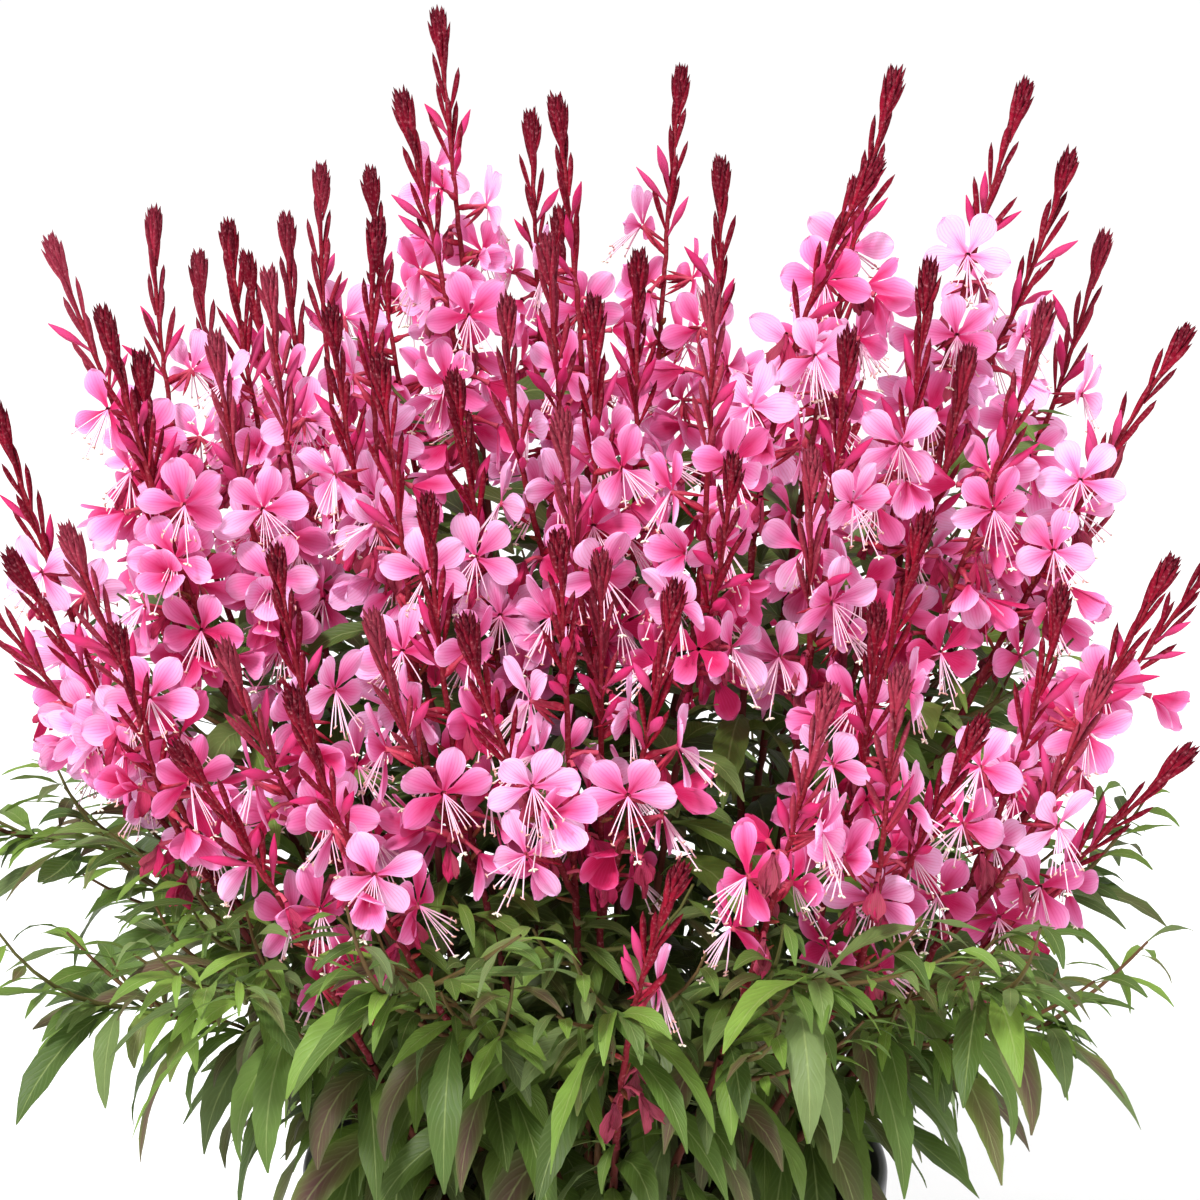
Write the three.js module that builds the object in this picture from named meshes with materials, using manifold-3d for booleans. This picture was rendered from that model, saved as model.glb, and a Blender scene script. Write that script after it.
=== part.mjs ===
// A potted gaura in flower: a nursery pot of soil, seven woody crowns with leafy stems, and a flower
// spray on top of each stem. Millimetres, +Z up, origin at the centre of the pot's base, -Y to the front.
import * as THREE from 'three';
import { mergeVertices } from 'three/addons/utils/BufferGeometryUtils.js';
import Module from 'manifold-3d';

const wasm = await Module();
wasm.setup();

// Pot
const POT_HEIGHT = 156;
const POT_BASE_RADIUS = 75;
const POT_WALL_RADIUS = 97;
const RIM_RADIUS = 102;
const LIP_DEPTH = 13;
const WALL = 2.2;
const FLOOR = 2.6;
const POT_SIDES = 28;
const DRAIN_HOLES = 6;
const DRAIN_RADIUS = 5;
const DRAIN_RING = 52;
const DRAIN_SIDES = 6;
const FOOT_CHAMFER = 2;
const LIP_CHAMFER = 1.4;
const LIP_TUCK = 0.8;
const LIP_WIDTH = 3.2;

// Soil and crowns
const SOIL_TOP = 138;
const SOIL_CLEAR = 0.35;
const SOIL_SIDES = 14;
const SOIL_RINGS = [66];
const SOIL_RELIEF = 2.2;
const SOIL_DIP = 0.3;
const CROWN_RING = 44;
const CROWN_RADIUS = 12;
const CROWN_DEPTH = 14;
const CROWN_HEIGHT = 6;
const CROWN_NECK = 0.72;
const CROWN_TOE = 0.8;
const CROWN_SIDES = 6;
const CUT_ABOVE = 20;
const OUTER_CROWNS = 6;

// Stems and flower stalks
const BASE_SHARE = 0.26;
const BASE_REACH = 6;
const BASE_RISE = 2;
const STEM_RADIUS = 1.3;
const STALK_RADIUS = 1.05;
const STALK_LENGTH = 150;
const STALK_SHARE = 0.6;
const STALK_GAP = 0.4;
const SPIKE_LENGTH = 52;
const STEM_STEPS = 3;
const FORK_RISE = 12;
const FORK_TURN = 0.5;
const CURVE_STEPS = 48;
const CURVE_REACH = 0.36;
const TIP_LEAN_REACH = 420;
const LEAST_STEEP = 0.5;
const STEEP_RANGE = 0.7;
const SHOOT_STEEP = 1.1;
const SHOOT_TIP_STEEP = 0.1;

// Room that each part keeps round itself, and how far its place may shift to find it
const STEM_BALL = 2.2;
const STALK_BALL = 1.6;
const BUD_BALL = 4;
const CLUSTER_BALL = 4.2;
const POT_ROOM = 1;
const WALL_ROOM = 2;
const SOIL_ROOM = 2.8;
const STEM_BALL_STEP = 4;
const STALK_BALL_STEP = 3;
const BUD_BALL_STEP = 5;
const TUBE_MIDDLE = 0.6;
const TUBE_BALL = 1.6;
const HUB_BALL = 2.2;
const LEAF_BALL_STEP = 6;
const LEAF_BALL_SHARE = 0.85;
const LEAST_LEAF_BALL = 1.2;
const BASE_SPREAD = 0.5;
const STEM_FOOT = 8;
const SHOOT_TURN = 2;
const CLAW_OUT = 5;
const CLAW_BALL = 2.4;
const BLADE_OUT = 11.6;
const BLADE_ASIDE = 2.6;
const BLADE_BALL = 2.8;
const BASE_SHIFT = 6;
const TIP_SHIFT = 24;
const FORK_SHIFT = 30;
const DEPTH_SHIFT = 50;
const SHOOT_SHIFT = 40;
const SHOOT_LIFT = 30;

// Seeds, one run of them for each kind of part
const STEM_SEED = 1000;
const SHOOT_SEED = 2000;
const LEAF_SEED = 5300;
const RIM_SEED = 9000;
const SOIL_SEED = 77;

// Bud clusters and single buds
const CLUSTER_LENGTH = 22;
const CLUSTER_RADIUS = 4.1;
const CLUSTER_TOP = 0.95;
const WHORLS = [
  { rise: 0.3, near: 0.55, far: 1, lift: 0.3 },
  { rise: 0.72, near: 0.48, far: 0.8, lift: 0.24 },
];
const FIRST_BUD_STEP = 2;
const BUD_STEPS = 3;
const BUD_SPACING = 10;
const BUD_RISE = 14;
const BUD_OUT = 4.4;

// Blooms
const PETAL_REACH = 15;
const PETAL_HALF_WIDTH = 4.8;
const HUB_RADIUS = 1.4;
const HUB_HEIGHT = 2;
const TUBE_LENGTH = 10.5;
const PETAL_SIDE_ANGLE = 98;
const PETAL_TOP_ANGLE = 33;
const BLOOM_SPACING = 12;
const BLOOM_BELOW = 7;
const BLOOM_FOOT = 12;
const BLOOM_DROP = 10;
const BLOOM_RETRY_TURN = 47;
const TUBE_SWING = 0.7;
const FACE_SWING = 0.55;
const LEAST_TUBE_RISE = 5;
const TUBE_RISE_RANGE = 40;
const FACE_DROOP = 0.35;
const FACE_TILT_RANGE = 0.8;
const BLOOM_ROLL_RANGE = 50;
const USUAL_SHARE = 0.7;
const WIDE_SPREAD = 1.34;
const LEAST_PETAL_TILT = -14;
const PETAL_TILT_RANGE = 32;

// Leaves
const LEAF_THICKNESS = 1.1;
const LONG_LEAF = 84;
const LONG_LEAF_STATIONS = [0.34, 0.7];
const SHORT_LEAF_STATIONS = [0.54];
const LEAF_SPACING = 110;
const SHOOT_LEAF_SPACING = 24;
const RIM_LEAVES = 5;
const STEM_LEAF = {
  foot: 14,
  end: 2,
  turn: 50,
  swing: 0.5,
  length: 80,
  shorter: 30,
  extra: 9,
  startSlope: 6,
  endSlope: -94,
  flatter: 44,
  uneven: 0.6,
};
const SHOOT_LEAF = {
  foot: 30,
  turn: 64,
  closer: 50,
  length: 66,
  shorter: 18,
  extra: 8,
  startSlope: 8,
  endSlope: -84,
  uneven: 0.4,
};
const RIM_LEAF = { out: 7, up: 3, fan: 64, length: 106, startSlope: 52, endSlope: -78 };
const LEAF_SLIM = 0.165;
const LEAF_SLIM_RANGE = 0.04;
const LEAF_BULGE = 1.1;
const LEAF_SHRINK = 0.035;
const LEAF_TURN = 0.4;
const LEAF_RETRY_TURN = 0.22;
const START_SLOPE_RANGE = 40;
const END_SLOPE_RANGE = 44;
const LEAF_ROLL_RANGE = 80;
const GOLDEN_ANGLE = 137.508;

// How often each part tries for a free place
const STEM_TRIES = 60;
const BLOOM_TRIES = 40;
const LEAF_TRIES = 16;

// Tip of each flower spray: across, back, height above the rim, lean to the right in degrees, blooms,
// and for a forked spray the same first four of its second tip.
const SPRAYS = [
  [-197, 0, 269, -14, 6],
  [-180, -80, 239, -26, 5],
  [-181, 20, 322, -19, 5],
  [-151, -60, 311, -10, 5, [-141, -50, 296, -4]],
  [-152, 70, 325, 3, 4],
  [-126, 60, 322, -4, 3, [-140, 90, 307, 0]],
  [-119, -40, 300, -4, 5],
  [-107, 10, 313, -3, 5],
  [-97, 100, 337, 2, 4, [-109, 86, 321, -4]],
  [-62, -10, 372, -13, 5],
  [-56, 110, 390, -6, 4],
  [-13, 0, 370, -8, 5],
  [-66, -50, 336, 8, 5, [-80, -68, 313, -4]],
  [-64, -95, 302, -6, 5],
  [-44, -60, 291, -8, 5],
  [-15, -48, 332, -5, 5, [-26, -72, 316, 3]],
  [0, -78, 317, 0, 5, [-10, -98, 286, -4]],
  [-48, -122, 266, 0, 5, [-64, -140, 236, -8]],
  [-92, -128, 252, -3, 5, [-106, -144, 228, -10]],
  [-156, -110, 254, -15, 5, [-140, -126, 228, -10]],
  [31, 110, 370, 6, 5],
  [43, 66, 343, -1, 4],
  [14, -12, 322, 0, 6],
  [34, -108, 325, -2, 6, [40, -124, 278, 2]],
  [95, -20, 380, 14, 6],
  [87, -62, 356, 30, 6],
  [139, 0, 374, 18, 6, [157, 22, 350, 14]],
  [104, -42, 323, 2, 6, [120, -20, 292, 8]],
  [76, -86, 308, 3, 6, [64, -104, 276, 0]],
  [142, -40, 310, 12, 6],
  [191, -20, 298, 30, 6, [174, 12, 257, 8]],
  [98, -114, 259, 12, 5, [82, -132, 236, 2]],
  [181, -62, 233, 22, 5],
  [137, -122, 238, 5, 5, [150, -128, 214, 16]],
  [2, -136, 252, 0, 6, [24, -146, 246, 8]],
  [-10, -150, 262, -2, 6, [-36, -160, 240, -6]],
  [112, -148, 206, 20, 5, [86, -164, 226, 4]],
  [-121, -152, 200, -30, 5],
  [26, -176, 172, 20, 2],
  [190, -66, 172, 40, 5],
  [-84, -172, 222, -10, 5],
  [66, -176, 224, 10, 5],
  [-208, -34, 226, -34, 5],
  [-130, 140, 300, -10, 3],
  [-84, 150, 330, -6, 4],
  [-24, 140, 352, -3, 4],
  [102, 160, 272, 10, 2],
  [176, 60, 318, 14, 5],
  [208, -24, 232, 32, 5],
  [92, 84, 334, 8, 4],
  [-14, 130, 318, -2, 5],
];

// Tip of each leafy shoot with no flowers: across, back, height above the rim
const SHOOTS = [
  [-184, -30, 128],
  [-152, -90, 92],
  [-112, -128, 112],
  [-60, -150, 120],
  [6, -148, 112],
  [66, -146, 122],
  [120, -122, 110],
  [142, -88, 84],
  [160, -14, 104],
  [132, 92, 84],
  [-20, 172, 78],
  [-158, 96, 88],
  [78, 148, 92],
  [-92, 146, 84],
];

const rad = (degrees) => (degrees * Math.PI) / 180;

// Small vector helpers on [x, y, z] arrays
const add = (a, b) => [a[0] + b[0], a[1] + b[1], a[2] + b[2]];
const sub = (a, b) => [a[0] - b[0], a[1] - b[1], a[2] - b[2]];
const mul = (a, k) => [a[0] * k, a[1] * k, a[2] * k];
const along = (a, d, k) => [a[0] + d[0] * k, a[1] + d[1] * k, a[2] + d[2] * k];
const dot = (a, b) => a[0] * b[0] + a[1] * b[1] + a[2] * b[2];
const cross = (a, b) => [
  a[1] * b[2] - a[2] * b[1],
  a[2] * b[0] - a[0] * b[2],
  a[0] * b[1] - a[1] * b[0],
];
const size = (a) => Math.sqrt(dot(a, a));
const unit = (a) => mul(a, 1 / size(a));
const mix = (a, b, t) => add(mul(a, 1 - t), mul(b, t));
const across = (a, d) => unit(sub(a, mul(d, dot(a, d))));

// A seeded draw between 0 and 1, the same on every run
function draws(seed) {
  let state = seed >>> 0;
  return () => {
    state = (state + 0x6d2b79f5) >>> 0;
    let t = state;
    t = Math.imul(t ^ (t >>> 15), t | 1);
    t ^= t + Math.imul(t ^ (t >>> 7), t | 61);
    return ((t ^ (t >>> 14)) >>> 0) / 4294967296;
  };
}

// What has grown so far, as balls with an owner, so that one piece never grows through another
const CELL = 12;
const CELLS = 128;
const TOUCH = 0.5;
const NOBODY = 'none/';
const taken = new Map();
const cellOf = (v) => Math.floor(v / CELL);
const cellKey = (i, j, k) => ((i + CELLS / 2) * CELLS + j + CELLS / 2) * CELLS + k + CELLS / 2;

function claim(balls, owner) {
  for (const [p, r] of balls) {
    const key = cellKey(cellOf(p[0]), cellOf(p[1]), cellOf(p[2]));
    if (!taken.has(key)) taken.set(key, []);
    taken.get(key).push([p, r, owner]);
  }
}

// How many balls touch what others hold. A path such as clump3/stem12/ is skipped with all below it.
function crowding(balls, carrier) {
  let hits = 0;
  for (const [p, r] of balls) {
    for (let i = cellOf(p[0]) - 1; i <= cellOf(p[0]) + 1; i += 1) {
      for (let j = cellOf(p[1]) - 1; j <= cellOf(p[1]) + 1; j += 1) {
        for (let k = cellOf(p[2]) - 1; k <= cellOf(p[2]) + 1; k += 1) {
          for (const [q, s, other] of taken.get(cellKey(i, j, k)) ?? []) {
            const far = r + s + TOUCH;
            const d = sub(p, q);
            if (!other.startsWith(carrier) && dot(d, d) < far * far) hits += 1;
          }
        }
      }
    }
  }
  return hits;
}

// The pot and the soil, for what grows over them
function clearOfPot(balls) {
  for (const [p, r] of balls) {
    const out = Math.hypot(p[0], p[1]);
    if (p[2] - r > POT_HEIGHT + POT_ROOM) continue;
    if (out - r > RIM_RADIUS + POT_ROOM) continue;
    if (out + r < POT_WALL_RADIUS - WALL - WALL_ROOM && p[2] - r > SOIL_TOP + SOIL_ROOM) continue;
    return false;
  }
  return true;
}

// A smooth stalk from root to tip, as even steps of a cubic curve
function stalkCurve(root, rootDirection, tip, tipDirection) {
  const reach = size(sub(tip, root)) * CURVE_REACH;
  const a = along(root, rootDirection, reach);
  const b = along(tip, tipDirection, -reach);
  const points = [];
  for (let i = 0; i <= CURVE_STEPS; i += 1) {
    const t = i / CURVE_STEPS;
    points.push(mix(mix(mix(root, a, t), mix(a, b, t), t), mix(mix(a, b, t), mix(b, tip, t), t), t));
  }
  return points;
}

function lengthOf(points) {
  let total = 0;
  for (let i = 1; i < points.length; i += 1) total += size(sub(points[i], points[i - 1]));
  return total;
}

// The point and direction at a distance along a polyline
function pointAt(points, distance) {
  let left = distance;
  for (let i = 1; i < points.length; i += 1) {
    const step = size(sub(points[i], points[i - 1]));
    if (left <= step || i === points.length - 1) {
      return [mix(points[i - 1], points[i], left / step), unit(sub(points[i], points[i - 1]))];
    }
    left -= step;
  }
  return null;
}

function sampled(points, distances) {
  return distances.map((d) => pointAt(points, d)[0]);
}

function evenly(from, to, steps) {
  return Array.from({ length: steps + 1 }, (_, i) => from + ((to - from) * i) / steps);
}

// A stalk is straight between these few stations: its foot, halfway to the buds, then one for each bud
function stalkStations(from, total) {
  const budFoot = total - CLUSTER_LENGTH - BUD_STEPS * BUD_SPACING;
  return [from, (from + budFoot) / 2, ...evenly(budFoot, total - CLUSTER_LENGTH, BUD_STEPS)];
}

function makeStalk(points, from) {
  const total = lengthOf(points);
  const stations = stalkStations(from, total);
  const [, lastWay] = pointAt(points, total - CLUSTER_LENGTH / 2);
  return { run: sampled(points, stations), lastWay, length: total - from - CLUSTER_LENGTH };
}

function ballsAlong(points, from, to, radius, step) {
  const balls = [];
  const count = Math.max(1, Math.ceil((to - from) / step));
  for (const distance of evenly(from, to, count)) balls.push([pointAt(points, distance)[0], radius]);
  return balls;
}

// Crowns: one in the middle and six round it
const crowns = [[0, 0]];
for (let i = 0; i < OUTER_CROWNS; i += 1) {
  const a = rad((360 / OUTER_CROWNS) * (i + 0.5));
  crowns.push([CROWN_RING * Math.cos(a), CROWN_RING * Math.sin(a)]);
}

function nearestCrown(x, y) {
  let best = 0;
  crowns.forEach(([cx, cy], i) => {
    if (Math.hypot(x - cx, y - cy) < Math.hypot(x - crowns[best][0], y - crowns[best][1]) - 1e-6) best = i;
  });
  return best;
}

// The way a tip points: its lean across as listed, and back or forward with its place
function tipDirection(tip) {
  return unit([Math.tan(rad(tip[3])), tip[1] / TIP_LEAN_REACH, 1]);
}

// Balls that stand for a stalk with its buds and tip cluster
function stalkBalls(points, from) {
  const total = lengthOf(points);
  return [
    ...ballsAlong(points, from, total - SPIKE_LENGTH, STALK_BALL, STALK_BALL_STEP),
    ...ballsAlong(points, total - SPIKE_LENGTH, total - CLUSTER_LENGTH, BUD_BALL, BUD_BALL_STEP),
    ...ballsAlong(points, total - CLUSTER_LENGTH, total, CLUSTER_BALL, BUD_BALL_STEP),
  ];
}

// Grow the stems with their flower stalks, then the forks

function growStem(row, i) {
  const draw = draws(STEM_SEED + i);
  const k = nearestCrown(row[0] * BASE_SHARE, row[1] * BASE_SHARE);
  const [cx, cy] = crowns[k];
  let best = null;
  for (let attempt = 0; attempt < STEM_TRIES; attempt += 1) {
    const loose = attempt / STEM_TRIES;
    const dx = (row[0] * BASE_SHARE - cx) * BASE_SPREAD + (draw() - 0.5) * BASE_SHIFT;
    const dy = (row[1] * BASE_SHARE - cy) * BASE_SPREAD + (draw() - 0.5) * BASE_SHIFT;
    const pull = Math.min(1, BASE_REACH / Math.hypot(dx, dy));
    const root = [cx + dx * pull, cy + dy * pull, SOIL_TOP + BASE_RISE];
    const tip = [
      row[0] + (draw() - 0.5) * TIP_SHIFT * loose,
      row[1] + (draw() - 0.5) * DEPTH_SHIFT * loose,
      row[2] + POT_HEIGHT,
    ];
    const steep = LEAST_STEEP + STEEP_RANGE * draw();
    const out = unit([tip[0] - root[0], tip[1] - root[1], (tip[2] - root[2]) * steep]);
    const points = stalkCurve(root, out, tip, tipDirection(row));
    const total = lengthOf(points);
    const junction = total - Math.min(STALK_LENGTH, total * STALK_SHARE);
    const stemBalls = ballsAlong(points, STEM_FOOT, junction, STEM_BALL, STEM_BALL_STEP);
    const budBalls = stalkBalls(points, junction);
    const hits = crowding(stemBalls, `clump${k}/`) + crowding(budBalls, `spray${i}/`);
    if (best === null || hits < best.hits) best = { hits, points, junction, stemBalls, budBalls };
    if (best.hits === 0) break;
  }
  claim(best.stemBalls, `clump${k}/stem${i}/`);
  claim(best.budBalls, `spray${i}/stalk/`);
  const stemRun = sampled(best.points, evenly(0, best.junction - STALK_GAP, STEM_STEPS));
  return { i, crown: k, row, draw, stemRun, stalks: [makeStalk(best.points, best.junction)] };
}

function growFork(stem) {
  const side = stem.row[5];
  if (!side) return;
  const [root, direction] = pointAt(stem.stalks[0].run, FORK_RISE);
  let best = null;
  for (let attempt = 0; attempt < STEM_TRIES; attempt += 1) {
    const loose = attempt / STEM_TRIES;
    const tip = [
      side[0] + (stem.draw() - 0.5) * FORK_SHIFT * loose,
      side[1] + (stem.draw() - 0.5) * DEPTH_SHIFT * loose,
      side[2] + POT_HEIGHT,
    ];
    const out = unit(add(direction, mul(unit([tip[0] - root[0], tip[1] - root[1], 0]), FORK_TURN)));
    const points = stalkCurve(root, out, tip, tipDirection(side));
    const balls = stalkBalls(points, 0);
    const hits = crowding(balls, `spray${stem.i}/`);
    if (best === null || hits < best.hits) best = { hits, points, balls };
    if (best.hits === 0) break;
  }
  claim(best.balls, `spray${stem.i}/stalk/`);
  stem.stalks.push(makeStalk(best.points, 0));
}

// A low leafy shoot, grown as a stem is but with nothing on its tip
function growShoot(tip, i) {
  const draw = draws(SHOOT_SEED + i);
  const k = nearestCrown(tip[0] * BASE_SHARE, tip[1] * BASE_SHARE);
  const [cx, cy] = crowns[k];
  let best = null;
  for (let attempt = 0; attempt < STEM_TRIES; attempt += 1) {
    const loose = attempt / STEM_TRIES;
    const turn = Math.atan2(tip[1] - cy, tip[0] - cx) + (draw() - 0.5) * SHOOT_TURN;
    const root = [cx + BASE_REACH * Math.cos(turn), cy + BASE_REACH * Math.sin(turn), SOIL_TOP + BASE_RISE];
    const end = [
      tip[0] + (draw() - 0.5) * SHOOT_SHIFT * loose,
      tip[1] + (draw() - 0.5) * SHOOT_SHIFT * loose,
      tip[2] + POT_HEIGHT + (draw() - 0.5) * SHOOT_LIFT * loose,
    ];
    const ahead = unit([end[0] - root[0], end[1] - root[1], 0]);
    const rising = unit([ahead[0], ahead[1], SHOOT_STEEP]);
    const points = stalkCurve(root, rising, end, unit([ahead[0], ahead[1], SHOOT_TIP_STEEP]));
    const total = lengthOf(points);
    const balls = ballsAlong(points, STEM_FOOT, total, STEM_BALL, STEM_BALL_STEP);
    const hits = crowding(balls, `clump${k}/`);
    if (best === null || hits < best.hits) best = { hits, points, total, balls };
    if (best.hits === 0) break;
  }
  claim(best.balls, `clump${k}/shoot${i}/`);
  return { i, crown: k, draw, stemRun: sampled(best.points, evenly(0, best.total, STEM_STEPS)) };
}

// Blooms: below the buds, turned outward, with the petals in the upper half

function bloomFrame(root, tube, facing, roll) {
  const hub = along(root, tube, TUBE_LENGTH);
  const level = across([0, 0, 1], facing);
  const right = cross(level, facing);
  const up = add(mul(level, Math.cos(roll)), mul(right, Math.sin(roll)));
  return { root, hub, facing, up, right: cross(up, facing) };
}

function petalAngles(spread) {
  return [-PETAL_SIDE_ANGLE, -PETAL_TOP_ANGLE, PETAL_TOP_ANGLE, PETAL_SIDE_ANGLE].map(
    (a) => rad(90 + a * spread),
  );
}

function inBloom(bloom, radius, angle, sidestep, lift) {
  const c = Math.cos(angle);
  const s = Math.sin(angle);
  const flat = along(
    along(bloom.hub, bloom.right, radius * c - sidestep * s),
    bloom.up,
    radius * s + sidestep * c,
  );
  return along(flat, bloom.facing, lift);
}

function tubeBalls(bloom) {
  return [[mix(bloom.root, bloom.hub, TUBE_MIDDLE), TUBE_BALL], [bloom.hub, HUB_BALL]];
}

function petalBalls(bloom) {
  const balls = [];
  const tilt = Math.sin(bloom.tilt);
  for (const a of petalAngles(bloom.spread)) {
    balls.push([inBloom(bloom, CLAW_OUT, a, 0, CLAW_OUT * tilt), CLAW_BALL]);
    balls.push([inBloom(bloom, BLADE_OUT, a, -BLADE_ASIDE, BLADE_OUT * tilt), BLADE_BALL]);
    balls.push([inBloom(bloom, BLADE_OUT, a, BLADE_ASIDE, BLADE_OUT * tilt), BLADE_BALL]);
  }
  return balls;
}

function growBlooms(stem) {
  const { draw } = stem;
  const blooms = [];
  stem.stalks.forEach((stalk, which) => {
    const wanted = which === 0 ? stem.row[4] : Math.max(2, stem.row[4] - 2);
    const turn = draw() * 360;
    for (let n = 0; n < wanted; n += 1) {
      const up = stalk.length - (SPIKE_LENGTH - CLUSTER_LENGTH) - BLOOM_BELOW - n * BLOOM_SPACING;
      if (up < BLOOM_FOOT) break;
      for (let attempt = 0; attempt < BLOOM_TRIES; attempt += 1) {
        const [root] = pointAt(stalk.run, up - draw() * BLOOM_DROP);
        const outward = Math.atan2(root[1], root[0]);
        const swing = ((turn + n * GOLDEN_ANGLE + attempt * BLOOM_RETRY_TURN) % 360) - 180;
        const azimuth = outward + rad(swing * TUBE_SWING);
        const rise = rad(LEAST_TUBE_RISE + draw() * TUBE_RISE_RANGE);
        const tube = [Math.cos(azimuth) * Math.cos(rise), Math.sin(azimuth) * Math.cos(rise), Math.sin(rise)];
        const face = outward + rad(swing * FACE_SWING);
        const facing = unit([Math.cos(face), Math.sin(face), (draw() - FACE_DROOP) * FACE_TILT_RANGE]);
        const bloom = bloomFrame(root, tube, facing, rad((draw() - 0.5) * BLOOM_ROLL_RANGE));
        bloom.spread = draw() < USUAL_SHARE ? 1 : WIDE_SPREAD;
        bloom.tilt = rad(LEAST_PETAL_TILT + draw() * PETAL_TILT_RANGE);
        const tubeRoom = crowding(tubeBalls(bloom), `spray${stem.i}/stalk/`);
        const petals = petalBalls(bloom);
        if (tubeRoom === 0 && crowding(petals, NOBODY) === 0 && clearOfPot(petals)) {
          claim([...tubeBalls(bloom), ...petals], `spray${stem.i}/bloom/`);
          blooms.push(bloom);
          break;
        }
      }
    }
  });
  stem.blooms = blooms;
}

// Leaves: an arch that starts at one slope and ends at another

function leafPoint(leaf, t) {
  const a = leaf.startSlope;
  const b = leaf.endSlope - leaf.startSlope;
  const out = (leaf.length * (Math.sin(a + b * t) - Math.sin(a))) / b;
  const rise = (leaf.length * (Math.cos(a) - Math.cos(a + b * t))) / b;
  return add(leaf.root, [Math.cos(leaf.azimuth) * out, Math.sin(leaf.azimuth) * out, rise]);
}

function leafHalfWidth(leaf, t) {
  return (leaf.width / 2) * Math.sin(Math.PI * Math.pow(t, LEAF_BULGE));
}

function leafBalls(leaf) {
  const balls = [];
  const count = Math.ceil(leaf.length / LEAF_BALL_STEP);
  for (let i = 1; i <= count; i += 1) {
    const t = i / count;
    balls.push([leafPoint(leaf, t), Math.max(LEAST_LEAF_BALL, leafHalfWidth(leaf, t) * LEAF_BALL_SHARE)]);
  }
  return balls;
}

function growLeaf(list, carrier, draw, wish) {
  for (let attempt = 0; attempt < LEAF_TRIES; attempt += 1) {
    const length = wish.length * (1 - attempt * LEAF_SHRINK);
    const leaf = {
      root: wish.root,
      azimuth: wish.azimuth + (draw() - 0.5) * (LEAF_TURN + attempt * LEAF_RETRY_TURN),
      length,
      width: length * (LEAF_SLIM + draw() * LEAF_SLIM_RANGE),
      startSlope: rad(wish.startSlope + (draw() - 0.5) * START_SLOPE_RANGE),
      endSlope: rad(wish.endSlope + (draw() - 0.5) * END_SLOPE_RANGE),
      roll: rad((draw() - 0.5) * LEAF_ROLL_RANGE),
    };
    const balls = leafBalls(leaf);
    if (crowding(balls, carrier) === 0 && clearOfPot(balls)) {
      claim(balls, 'leaf/');
      list.push(leaf);
      return;
    }
  }
}

// Leaves up a stem: long and hanging low down, shorter and more level higher up
function growStemLeaves(stem, list) {
  const draw = draws(LEAF_SEED + stem.i);
  const carrier = `clump${stem.crown}/stem${stem.i}/`;
  const room = lengthOf(stem.stemRun) - STEM_LEAF.foot - STEM_LEAF.end;
  const wanted = Math.round(room / LEAF_SPACING) + 1;
  for (let n = 0; n < wanted; n += 1) {
    const share = (n + draw() * STEM_LEAF.uneven) / wanted;
    const [root] = pointAt(stem.stemRun, STEM_LEAF.foot + room * share);
    const outward = Math.atan2(root[1], root[0]);
    const swing = ((n * GOLDEN_ANGLE + stem.i * STEM_LEAF.turn) % 360) - 180;
    growLeaf(list, carrier, draw, {
      root,
      azimuth: outward + rad(swing * STEM_LEAF.swing),
      length: STEM_LEAF.length - STEM_LEAF.shorter * share + draw() * STEM_LEAF.extra,
      startSlope: STEM_LEAF.startSlope,
      endSlope: STEM_LEAF.endSlope + STEM_LEAF.flatter * share,
    });
  }
}

// Leaves along a shoot, to the left and right by turns
function growShootLeaves(shoot, list) {
  const { draw } = shoot;
  const carrier = `clump${shoot.crown}/shoot${shoot.i}/`;
  const room = lengthOf(shoot.stemRun) - SHOOT_LEAF.foot;
  const wanted = Math.round(room / SHOOT_LEAF_SPACING) + 1;
  for (let n = 0; n < wanted; n += 1) {
    const share = (n + draw() * SHOOT_LEAF.uneven) / wanted;
    const [root, way] = pointAt(shoot.stemRun, SHOOT_LEAF.foot + room * share);
    const side = n % 2 ? 1 : -1;
    growLeaf(list, carrier, draw, {
      root,
      azimuth: Math.atan2(way[1], way[0]) + side * rad(SHOOT_LEAF.turn - SHOOT_LEAF.closer * share),
      length: SHOOT_LEAF.length - SHOOT_LEAF.shorter * share + draw() * SHOOT_LEAF.extra,
      startSlope: SHOOT_LEAF.startSlope,
      endSlope: SHOOT_LEAF.endSlope,
    });
  }
}

// Long leaves from the foot of the outer stems, which arch over the rim and hang
function growRimLeaves(k, list) {
  const draw = draws(RIM_SEED + k);
  const [cx, cy] = crowns[k];
  const outward = Math.atan2(cy, cx);
  for (let n = 0; n < RIM_LEAVES; n += 1) {
    const azimuth = outward + rad((n / (RIM_LEAVES - 1) - 0.5) * RIM_LEAF.fan);
    const x = cx + Math.cos(azimuth) * RIM_LEAF.out;
    const y = cy + Math.sin(azimuth) * RIM_LEAF.out;
    const { length, startSlope, endSlope } = RIM_LEAF;
    const root = [x, y, SOIL_TOP + RIM_LEAF.up];
    growLeaf(list, `clump${k}/`, draw, { root, azimuth, length, startSlope, endSlope });
  }
}

const stems = SPRAYS.map(growStem);
stems.forEach(growFork);
const shoots = SHOOTS.map(growShoot);
stems.forEach(growBlooms);
const leaves = crowns.map(() => []);
crowns.forEach((_, k) => {
  if (k > 0) growRimLeaves(k, leaves[k]);
});
shoots.forEach((shoot) => growShootLeaves(shoot, leaves[shoot.crown]));
stems.forEach((stem) => growStemLeaves(stem, leaves[stem.crown]));

// Solids
function solid(points, faces) {
  const vertProperties = new Float32Array(points.flat());
  const triVerts = new Uint32Array(faces.flat());
  return new wasm.Manifold(new wasm.Mesh({ numProp: 3, vertProperties, triVerts }));
}

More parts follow.
